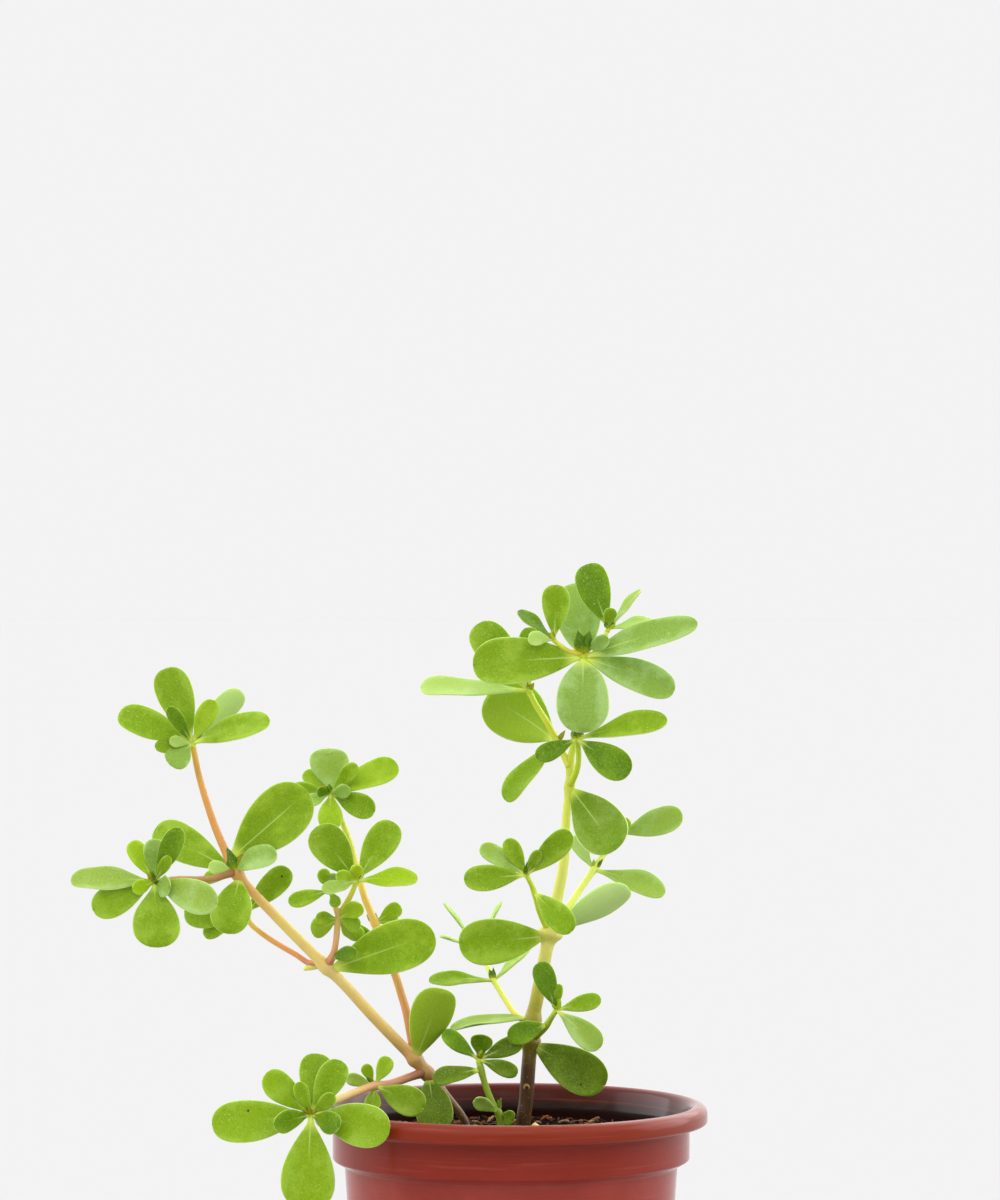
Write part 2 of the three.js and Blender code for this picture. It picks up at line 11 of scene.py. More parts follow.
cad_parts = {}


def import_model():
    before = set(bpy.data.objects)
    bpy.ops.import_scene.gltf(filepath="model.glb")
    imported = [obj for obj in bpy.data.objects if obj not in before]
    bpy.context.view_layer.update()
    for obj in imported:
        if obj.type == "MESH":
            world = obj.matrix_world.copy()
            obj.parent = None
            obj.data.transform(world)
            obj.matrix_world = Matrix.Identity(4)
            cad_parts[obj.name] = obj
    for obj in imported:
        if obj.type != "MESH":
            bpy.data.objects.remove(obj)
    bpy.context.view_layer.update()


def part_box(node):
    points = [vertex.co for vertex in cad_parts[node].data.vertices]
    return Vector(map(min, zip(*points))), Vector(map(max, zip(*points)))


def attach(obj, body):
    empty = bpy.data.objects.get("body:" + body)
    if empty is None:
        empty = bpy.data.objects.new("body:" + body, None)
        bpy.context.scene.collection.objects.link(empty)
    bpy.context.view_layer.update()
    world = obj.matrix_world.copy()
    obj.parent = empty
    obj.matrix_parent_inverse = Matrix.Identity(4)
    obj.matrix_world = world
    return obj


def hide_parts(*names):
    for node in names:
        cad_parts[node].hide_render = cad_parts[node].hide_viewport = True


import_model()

MM = 0.001  # all shape work below is in millimetres


# ---- the plant, as in part.mjs but for top_leaves and one leaf of right_rear_tip

SOIL_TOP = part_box("soil")[1].z / MM
POT_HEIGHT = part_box("pot")[1].z / MM
LIP_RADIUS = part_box("pot")[1].x / MM

# Each stem has its parent, its place on the parent counted in points, the points of its centre
# line [x, y, height above the soil], its radii and its colours at even steps from base to tip.
STEMS = {
    "left_stem": (None, 0, [
        (-9, 5, -24), (-14.5, 3, 0), (-21.5, 2, 10.5), (-27.5, 0, 18), (-32, -1, 23.5),
        (-37, -1, 28.5), (-46.5, -2, 38.5), (-55.5, -3, 48.5), (-65.5, -4, 58.5),
        (-75.5, -4, 68.5), (-87, -4, 80.5), (-92, -4, 87), (-97.5, -3, 98.5), (-101, -2, 108),
        (-104, -1, 118), (-106, 0, 127.5)],
        (1, 1.1, 1.9, 1.9, 1.8, 1.7, 1.5, 1.2, 1),
        ((36, 18, 12), (50, 28, 18), (150, 112, 70), (184, 156, 90), (193, 172, 106),
         (194, 172, 98), (182, 136, 80), (178, 124, 64), (172, 140, 56))),
    "right_stem": (None, 0, [
        (3, 2, -26), (4, 0, 1), (5, 0, 10), (6, 0, 23.5), (7.5, 1, 38), (8.5, 1, 43),
        (11.5, 2, 58), (12.5, 3, 63), (15, 4, 75), (17.5, 4, 88), (18.5, 5, 104), (19.5, 5, 114),
        (20, 5, 123), (21, 4, 129), (22.5, 2, 143), (24.2, 0, 158.5)],
        (2.6, 2.4, 2.1, 1.3, 1),
        ((36, 18, 4), (48, 24, 2), (66, 40, 4), (146, 142, 40), (190, 188, 98), (188, 192, 92),
         (178, 188, 70), (170, 184, 50), (160, 178, 40))),
    "centre_stem": (None, 0, [
        (-3, -2, -20), (-3.5, -5, 3), (-6.5, -6, 10), (-9, -7, 17), (-10.5, -8, 23)],
        (1.3, 1), ((70, 70, 10), (98, 118, 14), (118, 140, 30), (130, 156, 44))),
    "middle_branch": ("left_stem", 4, [
        (-33.5, 2.5, 31), (-35, 5, 38.5), (-36.5, 7, 43.5), (-39.5, 9, 52.5), (-47.5, 14, 72),
        (-49.5, 15, 77), (-52.5, 18, 88), (-55, 19, 96.5), (-60.5, 19, 110)],
        (1.4, 1.3, 0.9),
        ((160, 106, 66), (176, 124, 72), (196, 158, 88), (192, 162, 80), (184, 188, 80),
         (170, 186, 70))),
    "left_front_branch": ("left_stem", 10.9, [
        (-98, -12, 84.5), (-103, -18, 84.5), (-109, -24, 85), (-115.5, -28, 84.5)],
        (1.2, 1), ((140, 96, 62), (146, 112, 64), (150, 140, 60))),
    "left_rear_branch": ("left_stem", 7.75, [
        (-67.5, 1, 55.5), (-72, 4, 58), (-80.5, 9, 62.5), (-87, 13, 67), (-89, 15, 70)],
        (1, 0.9), ((158, 96, 70), (188, 128, 80), (192, 144, 76), (184, 166, 70))),
    "left_mid_branch": ("left_stem", 7.6, [
        (-59, -7, 59), (-58, -8, 64), (-57, -9, 71.5), (-53.5, -10, 78), (-51.5, -10, 82.5)],
        (1.1, 0.9), ((168, 108, 82), (186, 146, 104), (170, 158, 70), (168, 180, 60))),
    "left_mid_twig": ("left_mid_branch", 3, [(-58.5, -11, 76), (-59.5, -12, 79.5)],
        (0.9, 0.8), ((190, 156, 100), (178, 172, 80))),
    "lower_left_branch": ("left_stem", 3.2, [
        (-33.5, -5, 18), (-40, -12, 16.5), (-45, -17, 16.5), (-49.5, -23, 15.5),
        (-53.5, -29, 14.5), (-59, -36, 13), (-64, -43.5, 10.5)],
        (1.4, 1.3), ((118, 72, 54), (172, 122, 92), (192, 148, 108), (196, 172, 120),
                     (184, 190, 96))),
    "right_rear_branch": ("right_stem", 11.7, [
        (15.5, 7, 129), (12, 9, 135.5), (8.5, 11, 141), (6.5, 12, 145)],
        (1.2, 1), ((186, 188, 70), (172, 184, 40), (166, 184, 50))),
    "right_front_shoot": ("right_stem", 11, [(22, -1, 120), (22.5, -3, 125.5), (22, -6, 129.5)],
        (1.1, 0.9), ((160, 176, 40), (150, 172, 40))),
    "right_side_branch": ("right_stem", 7.2, [
        (19.5, 6, 74), (23, 9, 79), (26.5, 11, 84), (31, 14, 90.5), (35.5, 17, 96.5)],
        (1.2, 1), ((200, 206, 104), (204, 212, 110), (190, 204, 96))),
    "right_left_shoot": ("right_stem", 7.2, [(9.5, -2, 72.5), (7.5, -5, 80), (5.5, -8, 84.5)],
        (1, 0.8), ((160, 180, 44), (168, 190, 54))),
    "right_low_shoot": ("right_stem", 3.4, [(10.5, -5, 33.5), (13, -8, 37.5), (14.5, -10, 40)],
        (1.1, 0.9), ((120, 126, 16), (134, 154, 30), (150, 176, 60))),
    "low_rear_branch": ("right_stem", 3.7, [
        (1.5, 4, 38), (-2, 9, 42.5), (-5, 14, 47), (-7.5, 20, 51.5), (-11, 28, 58)],
        (1, 0.8), ((196, 186, 84), (186, 196, 76), (184, 204, 90))),
    "top_left_twig": ("right_stem", 15, [(20, -1, 159), (17.5, -2, 160.5), (15, -3, 162.5)],
        (1, 0.8), ((182, 168, 52), (170, 182, 50))),
    "top_right_twig": ("right_stem", 15, [(28, 0, 158), (30, -1, 161.5), (32, -2, 166)],
        (1, 0.8), ((192, 178, 58), (184, 192, 84))),
}

# Each entry is the leaves of one node of a stem: the stem, the place on it counted in points
# (None is its tip) and a row for each leaf. A row has the leaf's heading, its lean towards the
# front, its length, width, roll and bend in millimetres and degrees, its tone and its traits.
LEAVES = {
    "left_tip": ("left_stem", None, [
        (108, -8, 27, 12.5, 0, 15, "mid"), (157, 5, 26.5, 11, 30, 10, "mid"),
        (119, 32, 17, 5, 10, 0, "dark"), (172, 35, 9, 4, 0, 0, "pale"),
        (187, 20, 13, 5, 20, 0, "deep"), (227, 30, 11.5, 9, 15, 10, "bluish"),
        (64, 15, 17, 7, 10, 0, "bright"), (46, -20, 25, 10, 140, 10, "light"),
        (16.5, 12, 28, 11, 35, 15, "mid")]),
    "fork_leaves": ("left_stem", 10.9, [
        (23, 30, 19, 9, 35, 70, "bluish"), (165, 35, 11, 5, 20, 0, "pale"),
        (192, 0, 11, 5, 20, 0, "bright"), (120, 40, 8, 4.5, 0, 0, "bud"),
        (70, 40, 8, 4, 0, 0, "olive"), (155, -15, 32, 13, 10, 15, "mid")]),
    "fork_large_leaf": ("left_stem", 11.3, [
        (40, 5, 35, 19, 5, 20, "deep", {"widest": 0.66, "midrib": 0.7})]),
    "fork_hanging_leaf": ("left_stem", 10.6, [(260, 30, 21.5, 13.5, 0, 35, "mid")]),
    "left_front_tip": ("left_front_branch", None, [
        (178, 10, 27.5, 10.5, 42, 10, "light"), (205, 15, 22.5, 10.5, 10, 10, "mid"),
        (200, 45, 10, 5, 0, 0, "bright"), (273, 20, 22.5, 15.5, 0, 20, "mid"),
        (342, 25, 24.5, 11, 10, 15, "light"), (64, 15, 20.5, 7.5, 0, 10, "dark"),
        (86, 10, 14.5, 8, 0, -20, "bluish"), (121, -10, 15.5, 6.5, 0, 0, "bright"),
        (345, 50, 9, 7.5, 0, 0, "bluish"), (58, 28, 11.5, 4, 0, 0, "deep")]),
    "left_rear_tip": ("left_rear_branch", None, [
        (46, 5, 21.5, 9, 10, 10, "mid", {"dot": (0.8, -0.1)}), (208, -5, 16, 6, 20, 0, "deep"),
        (181, -8, 21, 11, 10, 10, "mid")]),
    "middle_tip": ("middle_branch", None, [
        (92, -5, 15.5, 13.5, 0, -20, "light", {"notch": 0.12}),
        (140, -15, 12, 5.5, 10, 0, "bright"), (172, 5, 13.5, 6, 20, 0, "deep"),
        (200, 20, 9, 4.5, 0, 0, "pale"), (22, 5, 25, 10.5, 35, 15, "bright"),
        (47, 20, 14.5, 5.5, 10, 0, "deep"), (15, 45, 10, 5, 0, 0, "bluish"),
        (341, 25, 18, 8.5, 0, 10, "mid"), (272, 38, 15.5, 8.5, 0, 30, "bright"),
        (163, 50, 7, 4, 0, 0, "dark")]),
    "middle_rear_leaves": ("middle_branch", 4.75, [
        (32, -10, 10.5, 5.5, 10, 0, "bright"), (8, -5, 8, 4, 10, 0, "bright")]),
    "left_mid_tip": ("left_mid_branch", None, [
        (126, 12, 23, 12.5, 0, 10, "mid"), (59, 0, 23, 11, 0, 15, "mid"),
        (2, 10, 20.5, 8.5, 45, 10, "bright"), (90, 45, 8, 4.5, 0, 0, "yellow"),
        (190, 58, 21, 5.5, 40, 0, "light"), (160, 50, 11, 5, 0, 0, "bright")]),
    "left_mid_twig_tip": ("left_mid_twig", None, [
        (112, 30, 9, 4.5, 0, 0, "deep"), (196, 20, 15, 5.5, 15, 10, "deep"),
        (297, 35, 7, 4, 0, 0, "mid"), (75, 30, 7, 4.5, 0, 0, "bluish")]),
    "left_mid_leaves": ("left_mid_branch", 2.9, [
        (207, 5, 10, 8, 150, 10, "under"), (170, 35, 9, 4.5, 0, 0, "deep"),
        (346, 25, 8.5, 5.5, 0, 10, "mid"), (326, -28, 14.5, 5.5, 0, 0, "deep"),
        (36, 42, 13, 6, 0, 0, "bright"), (312, -25, 11, 7, 150, 0, "under")]),
    "left_long_leaf": ("left_stem", 7.5, [
        (21, 14, 38.5, 17, 5, 10, "deep", {"widest": 0.68, "midrib": 0.6})]),
    "left_small_leaf": ("left_mid_branch", 0.7, [(20, 45, 13, 5, 0, 0, "dark")]),
    "left_under_leaf": ("left_stem", 4, [(70, 25, 29, 14.5, 165, -10, "under", {"midrib": 0.5})]),
    "left_folded_leaf": ("left_stem", 3, [(280, 30, 20.5, 12.5, 0, 20, "shade")]),
    "lower_left_leaves": ("lower_left_branch", 3, [
        (116, 10, 8, 4, 0, 0, "bright"), (61, -10, 10.5, 5.5, 0, 0, "bright"),
        (264, 35, 9.5, 5.5, 0, 0, "mid"), (337, 20, 19, 10, 10, 10, "mid"),
        (160, 20, 10.5, 4.5, 0, 0, "light")]),
    "lower_left_tip": ("lower_left_branch", None, [
        (186, 12, 32.5, 14, 10, 15, "lush", {"dot": (0.62, 0.55)}),
        (186, 45, 16.5, 7.5, 0, 0, "dark"), (138, 5, 20, 9.5, 0, 10, "lush"),
        (112, 20, 12.5, 5, 0, 0, "deep"), (83, -15, 20, 11, 0, 10, "deep"),
        (62, 0, 20, 9.5, 0, 10, "mid"), (42, 25, 11.5, 5, 0, 0, "mid"),
        (351, 24, 28.5, 14, 10, 15, "lush"), (343, 48, 15, 7.5, 0, 0, "dark"),
        (267, 8, 30.5, 17.5, 0, 15, "lush")]),
    "top_buds": ("right_stem", None, [
        (25, 35, 11, 5, 0, 0, "bluish"), (115, 60, 7, 4.5, 0, 0, "bud"),
        (65, 60, 7, 4.5, 0, 0, "bud")]),
    "top_leaves": ("right_stem", 14.92, [
        (183.5, 8, 37.5, 16.5, 10, 25, "mid", {"widest": 0.72, "midrib": 0.4, "flank": 0.9}),
        (340, 5, 32.5, 11.5, 20, 15, "bluish", {"flank": 0.85}),
        (17.5, 15, 41, 10.5, 25, 15, "bluish", {"widest": 0.56, "midrib": 0.4}),
        (96, -36, 31, 16, 0, 10, "bluish", {"widest": 0.6, "midrib": 0.3, "flank": 0.75}),
        (268, 28, 28.5, 17.5, 0, 40, "bluish", {"widest": 0.68, "flank": 0.72})]),
    "top_left_twig_tip": ("top_left_twig", None, [
        (85, 0, 18.5, 9.5, 0, 10, "mid", {"fold": 0.25, "midrib": 0.3}),
        (141, 5, 15.5, 6.5, 50, 10, "dark"), (172, 25, 9.5, 5, 0, 0, "pale")]),
    "top_right_twig_tip": ("top_right_twig", None, [
        (111, -10, 23, 11.5, 0, 10, "dark"), (86, 30, 8, 4.5, 0, 0, "deep"),
        (50, -5, 17, 6, 65, 0, "light"), (10, -8, 15.5, 6, 55, 0, "pale")]),
    "right_rear_tip": ("right_rear_branch", None, [
        (128, -5, 28.5, 13, 0, 15, "mid"), (90, -15, 22, 8, 0, 0, "mid"),
        (178, 5, 36.5, 11, 58, 0, "pale", {"widest": 0.8})]),
    "right_rear_leaves": ("right_rear_branch", 1, [
        (146, -25, 32, 20, 170, 50, "under", {"midrib": 0.6}), (227, -5, 26.5, 9, 30, 15, "mid")]),
    "right_front_tip": ("right_front_shoot", None, [
        (12, 10, 31, 10, 50, 10, "deep"), (326, 20, 22, 11, 0, 15, "dark"),
        (205, 20, 16, 6.5, 10, 10, "dark"), (90, 10, 5, 4, 0, 0, "bud")]),
    "right_cupped_leaf": ("right_stem", 11, [
        (309, 30, 29.5, 17.5, 0, -25, "cupped", {"midrib": 0.5, "rim": 0.9})]),
    "right_side_tip": ("right_side_branch", None, [
        (16, 10, 23, 9.5, 15, 10, "light"), (110, 5, 11.5, 5.5, 0, 0, "bright"),
        (60, 35, 8, 4.5, 0, 0, "bright")]),
    "right_side_leaves": ("right_side_branch", 3.3, [
        (343, 10, 25.5, 9.5, 45, 10, "light"), (122, -15, 13.5, 6, 150, 0, "pale")]),
    "right_under_leaf": ("right_stem", 7.25, [(29, 18, 32, 11, 150, 0, "pale")]),
    "right_left_tip": ("right_left_shoot", None, [
        (184, 15, 21.5, 9, 10, 10, "mid"), (147, 0, 18, 6.5, 15, 5, "light"),
        (118, 10, 14, 6, 0, 0, "deep"), (66, 30, 11, 4, 0, 0, "mid"),
        (44, 20, 22, 8.5, 0, 10, "mid")]),
    "right_left_leaf": ("right_left_shoot", 1.9, [(316, 25, 19.5, 9, 0, 10, "mid")]),
    "right_wide_leaf": ("right_stem", 7.15, [(185, 12, 31, 15.5, 0, 15, "mid")]),
    "low_rear_tip": ("low_rear_branch", None, [
        (127, 0, 19, 3.5, 75, 0, "pale"), (61, 0, 17.5, 3.5, 75, 0, "pale"),
        (165, 0, 13.5, 3, 75, 0, "pale")]),
    "low_rear_leaves": ("low_rear_branch", 3.3, [
        (180, 5, 22, 7.5, 60, 8, "mid"), (42, -10, 17, 6, 65, 0, "pale")]),
    "low_thin_leaf": ("right_stem", 3.9, [(187, 0, 28, 8, 72, 18, "light")]),
    "right_low_tip": ("right_low_shoot", None, [
        (110, 5, 17, 7.5, 0, 10, "dark"), (83, 10, 9, 3, 0, 0, "mid"),
        (14, 10, 15.5, 6, 15, 5, "mid"), (322, 15, 19.5, 8.5, 0, 10, "light")]),
    "right_low_leaf": ("right_low_shoot", 1.5, [(193, 25, 15, 7.5, 0, 10, "dark")]),
    "right_base_leaf": ("right_stem", 3.35, [
        (331, 12, 29, 14.5, 0, 15, "shade", {"dot": (0.73, 0.58)})]),
    "centre_tip": ("centre_stem", None, [
        (81, 20, 9.5, 7.5, 0, -40, "dark"), (143, 0, 15, 6, 15, 5, "dark"),
        (24, 5, 16, 6.5, 10, 10, "shade"), (344, 20, 14.5, 5.5, 0, 5, "shade")]),
    "centre_leaf": ("centre_stem", 3.6, [(190, 10, 16.5, 7, 40, 10, "shade")]),
    "centre_low_leaves": ("centre_stem", 1.3, [
        (146, 45, 13.5, 5, 0, 0, "light"), (338, 20, 6, 5.5, 0, 0, "shade")]),
}

# Colours are given as they look, from 0 to 255. A tone has a leaf's upper face, the patches on it
# and its underside.
TONES = {
    "mid": ((114, 148, 0), (140, 170, 44), (152, 182, 80)),
    "lush": ((126, 158, 4), (142, 174, 46), (152, 182, 80)),
    "deep": ((116, 150, 2), (142, 172, 32), (152, 182, 70)),
    "dark": ((84, 122, 0), (106, 142, 0), (134, 166, 50)),
    # Painted shade: shade is a darkened copy of the green for leaves that sit in the shadow of
    # others.
    "shade": ((82, 108, 0), (100, 126, 10), (116, 142, 40)),
    "bright": ((138, 170, 4), (156, 186, 40), (164, 192, 80)),
    "light": ((138, 166, 64), (156, 184, 104), (164, 190, 110)),
    "bluish": ((124, 156, 62), (150, 180, 104), (156, 184, 106)),
    "cupped": ((104, 138, 10), (128, 156, 60), (144, 176, 76)),
    "pale": ((166, 196, 96), (178, 206, 122), (180, 206, 128)),
    "under": ((132, 164, 22), (152, 180, 52), (146, 176, 40)),
    "yellow": ((160, 186, 10), (184, 202, 50), (176, 198, 60)),
}
# A row with one of these tones is a pod: its colour at its base and towards its tip.
POD_TONES = {
    "bud": ((170, 178, 16), (64, 98, 0)),
    "olive": ((132, 140, 10), (128, 124, 12)),
    "young": ((190, 206, 60), (140, 172, 20)),
}
SMALL_POD_TONES = ("bud", "bud", "olive", "young")  # one is drawn for each small pod of a node
PETIOLE = (206, 222, 96)
NODE_GREEN = (184, 206, 60)
PALE_MARK = (206, 224, 150)  # the dots on a blade and its rim
DARK_SPOT = (40, 52, 8)


# ---- small tools


def srgb(colour):
    """A linear colour from one as it looks, in 0 to 255."""
    share = np.array(colour) / 255
    return np.where(share < 0.0404, share / 12.92, ((share + 0.055) / 1.055) ** 2.4)


def unit(vector):
    return vector / np.linalg.norm(vector)


def smooth(low, high, values):
    share = np.clip((values - low) / (high - low), 0, 1)
    return share * share * (3 - 2 * share)


def swell(distance, reach):
    """1 at no distance, and next to nothing at twice the reach."""
    return np.exp(-(distance / reach) ** 2)


def steps(values, shares):
    """Values given at even steps, read at shares from 0 to 1."""
    values = np.array(values, float)
    if values.ndim == 1:
        values = values[:, None]
    places = np.linspace(0, 1, len(values))
    return np.stack([np.interp(shares, places, column) for column in values.T], axis=-1)


def circle(around):
    """Even turns round a circle."""
    return np.linspace(0, 2 * np.pi, around, endpoint=False)


def ring(turns, side, other):
    """The points at some turns on a unit circle through two directions."""
    return np.outer(np.cos(turns), side) + np.outer(np.sin(turns), other)


def travelled(points):
    """How far along a row of points each of them is."""
    gaps = np.linalg.norm(np.diff(points, axis=0), axis=1)
    return np.concatenate([[0], np.cumsum(gaps)])


class Line:
    """A smooth line through points, as a uniform Catmull-Rom spline."""

    SAMPLES = 300
    NEAR = 1e-3  # the step to either side from which a direction is taken

    def __init__(self, points):
        points = np.array(points, float)
        self.last = len(points) - 1
        before, after = 2 * points[0] - points[1], 2 * points[-1] - points[-2]
        self.points = np.vstack([before, points, after])
        self.places = np.linspace(0, 1, self.SAMPLES)
        self.reached = travelled(np.array([self.point(place) for place in self.places]))
        self.length = self.reached[-1]

    def point(self, place):
        scaled = place * self.last
        index = min(int(scaled), self.last - 1)
        t = scaled - index
        p0, p1, p2, p3 = self.points[index:index + 4]
        m1, m2 = (p2 - p0) / 2, (p3 - p1) / 2
        a = 2 * p1 - 2 * p2 + m1 + m2
        b = -3 * p1 + 3 * p2 - 2 * m1 - m2
        return a * t ** 3 + b * t ** 2 + m1 * t + p1

    def tangent(self, place):
        low, high = max(place - self.NEAR, 0), min(place + self.NEAR, 1)
        return unit(self.point(high) - self.point(low))

    def place(self, share):
        """The place at a share of the line's length."""
        return float(np.interp(share * self.length, self.reached, self.places))

    def share(self, place):
        """The share of the line's length at a place."""
        return float(np.interp(place, self.places, self.reached)) / self.length


class Skin:
    """Closed bodies of one object, with the values that its material reads at each point."""

    def __init__(self):
        self.points = []
        self.faces = []
        self.values = {}
        self.count = 0

    def loft(self, rings, **values):
        """A closed body through rings of points, with a point that closes each end."""
        rows, around = rings.shape[:2]
        self.points.append(self.closed(rings))
        for name, value in values.items():
            value = np.broadcast_to(value, (rows, around, np.shape(value)[-1]))
            self.values.setdefault(name, []).append(self.closed(value))
        first = self.count
        low, high = first + rows * around, first + rows * around + 1
        last = first + (rows - 1) * around
        for a in range(around):
            b = (a + 1) % around
            self.faces.append((low, first + b, first + a))
            self.faces.append((high, last + a, last + b))
            for row in range(first, last, around):
                self.faces.append((row + a, row + b, row + around + b, row + around + a))
        self.count += rows * around + 2

    @staticmethod
    def closed(values):
        ends = [values[0].mean(axis=0), values[-1].mean(axis=0)]
        return np.vstack([values.reshape(-1, values.shape[-1]), ends])

    def piece(self, name, material, slot, nodes=()):
        """Makes the object, which rides on the root body and stands for the CAD nodes."""
        mesh = bpy.data.meshes.new(name)
        mesh.from_pydata((np.vstack(self.points) * MM).tolist(), [], self.faces)
        for key, parts in self.values.items():
            made = mesh.attributes.new(key, "FLOAT_VECTOR", "POINT")
            made.data.foreach_set("vector", np.vstack(parts).astype(np.float32).ravel())
        work = bmesh.new()
        work.from_mesh(mesh)
        bmesh.ops.recalc_face_normals(work, faces=work.faces)
        work.to_mesh(mesh)
        work.free()
        mesh.shade_smooth()
        mesh.materials.append(material)
        piece = bpy.data.objects.new(name, mesh)
        bpy.context.scene.collection.objects.link(piece)
        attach(piece, "root")
        if nodes:
            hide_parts(*nodes)
        return piece


class Nodes:
    """A node tree, with short calls for the nodes used here."""

    def __init__(self, tree):
        self.tree = tree

    def put(self, socket, value):
        """Links a node's output to a socket, or sets the socket's own value."""
        if isinstance(value, bpy.types.NodeSocket):
            self.tree.links.new(value, socket)
        elif socket.type == "RGBA":
            socket.default_value = (*value, 1)
        else:
            socket.default_value = value

    def add(self, kind, output, inputs=(), **settings):
        node = self.tree.nodes.new(kind)
        for key, value in settings.items():
            setattr(node, key, value)
        for key, value in dict(inputs).items():
            self.put(node.inputs[key], value)
        return node.outputs[output]

    def attribute(self, name):
        return self.add("ShaderNodeAttribute", "Vector", attribute_name=name)

    def parts(self, vector):
        node = self.tree.nodes.new("ShaderNodeSeparateXYZ")
        self.put(node.inputs[0], vector)
        return node.outputs

    def vector(self, x, y, z):
        return self.add("ShaderNodeCombineXYZ", 0, {0: x, 1: y, 2: z})

    def math(self, operation, a, b=0.0):
        return self.add("ShaderNodeMath", 0, {0: a, 1: b}, operation=operation)

    def times(self, a, b):
        return self.math("MULTIPLY", a, b)

    def size(self, a):
        return self.math("ABSOLUTE", a)

    def ramp(self, value, low, high, to_low=0.0, to_high=1.0):
        """Maps a value smoothly from low..high to another range."""
        inputs = {"Value": value, "From Min": low, "From Max": high}
        inputs |= {"To Min": to_low, "To Max": to_high}
        return self.add("ShaderNodeMapRange", 0, inputs, interpolation_type="SMOOTHSTEP")

    def place(self):
        return self.add("ShaderNodeTexCoord", "Object")

    def noise(self, where, scale, detail=2.0, rough=0.5):
        inputs = {"Vector": where, "Scale": scale, "Detail": detail, "Roughness": rough}
        return self.add("ShaderNodeTexNoise", "Fac", inputs)

    def cells(self, where, scale):
        return self.add("ShaderNodeTexVoronoi", "Distance", {"Vector": where, "Scale": scale})

    def mix(self, share, a, b, blend="MIX"):
        node = self.tree.nodes.new("ShaderNodeMix")
        node.data_type = "RGBA"
        node.blend_type = blend
        for socket, value in ((0, share), (6, a), (7, b)):
            self.put(node.inputs[socket], value)
        return node.outputs[2]

    def tint(self, share, base, colour, blend="MIX"):
        return self.mix(share, base, srgb(colour), blend)

    def bump(self, height, strength, distance):
        inputs = {"Height": height, "Strength": strength, "Distance": distance}
        return self.add("ShaderNodeBump", 0, inputs)


class Surface(Nodes):
    """A material with one shader."""

    def __init__(self, name):
        self.material = bpy.data.materials.new(name)
        self.material.use_nodes = True
        super().__init__(self.material.node_tree)

    def made(self, **sockets):
        """Sets the shader's sockets, named with _ for a space, and gives the material."""
        shader = self.tree.nodes["Principled BSDF"]
        for name, value in sockets.items():
            self.put(shader.inputs[name.replace("_", " ")], value)
        return self.material


# ---- stems

LINES = {}
STEM_STEP, FEWEST_RINGS = 0.9, 8  # the distance between a stem's rings
STEM_AROUND, STEM_RIDGES = 18, 0.025  # the points of a ring and how uneven it is
# Painted glow: STEM_GLOW brightens the stems' tones to stand in for light shining through them.
STEM_GLOW = 1.25  # how much lighter the translucent stems are than their surface tones
JOINT_SWELL, JOINT_REACH = 0.22, 2.2  # where something grows from a stem
FOOT_SWELL, FOOT_REACH = 0.3, 3.5  # where a branch grows from its parent

# The cut stubs of lost shoots and an old leaf scar on the right stem: the two ends [x, y, height
# above the soil], the radius and the colour.
SCARS = (
    ([(4.6, -4, -3), (8.6, -6, 2.2)], 1.4, (206, 178, 96)),
    ([(-62, -1.5, 54.8), (-69, 0, 53.6)], 0.9, (206, 212, 110)),
    ([(5.2, -1.6, 14.6), (5.2, -2.62, 14.2)], 1.1, (168, 128, 62)),
    ([(5.2, -1.8, 14.6), (5.2, -2.74, 14.2)], 0.6, (70, 40, 14)),
)
SCAR_GIRTH = np.array([0.9, 1, 1, 1, 1.04, 1, 0.8])
SCAR_AROUND, SCAR_RIDGES = 14, 0.06


def stem_material():
    """Fleshy stem: long streaks, a rosy flush and fine pale flecks."""
    n = Surface("stem_skin")
    where = n.place()
    along, right, front = n.parts(n.attribute("axis"))
    streaks = n.noise(n.vector(n.times(along, 0.12), right, front), 3.2, 3, 0.55)
    colour = n.attribute("tone")
    colour = n.tint(n.ramp(streaks, 0.42, 0.7, 0, 0.45), colour, (206, 200, 128), "OVERLAY")
    flush = n.ramp(n.noise(where, 90, 2), 0.5, 0.72, 0, 0.16)
    colour = n.tint(flush, colour, (168, 104, 66), "MULTIPLY")
    flecks = n.ramp(n.cells(where, 1100), 0.08, 0.2, 0.4, 0)
    return n.made(
        Base_Color=n.tint(flecks, colour, (222, 214, 160)),
        Roughness=n.ramp(streaks, 0.3, 0.7, 0.36, 0.5),
        Normal=n.bump(streaks, 0.3, 0.0003),
        Subsurface_Weight=0.35,
        Subsurface_Radius=(1.0, 0.8, 0.3),
        Subsurface_Scale=0.003,
        Specular_IOR_Level=0.35,
    )


def stem_line(name):
    """The centre line of a stem, in millimetres."""
    if name not in LINES:
        parent, at, points = STEMS[name][:3]
        line = [(x, y, z + SOIL_TOP) for x, y, z in points]
        if parent:
            line.insert(0, tuple(stem_place(parent, at)[0]))
        LINES[name] = Line(line)
    return LINES[name]


def stem_place(name, at):
    """The point, direction and radius at a place counted in a stem's points."""
    line = stem_line(name)
    place = 1.0 if at is None else at / line.last
    radius = steps(STEMS[name][3], np.array([line.share(place)]))[0, 0]
    return line.point(place), line.tangent(place), radius


def joints_on(name):
    """The shares of a stem's length where leaves or branches grow from it."""
    line = stem_line(name)
    places = [at for parent, at, *rest in STEMS.values() if parent == name]
    places += [at for stem, at, rows in LEAVES.values() if stem == name and at is not None]
    return [line.share(at / line.last) for at in places]


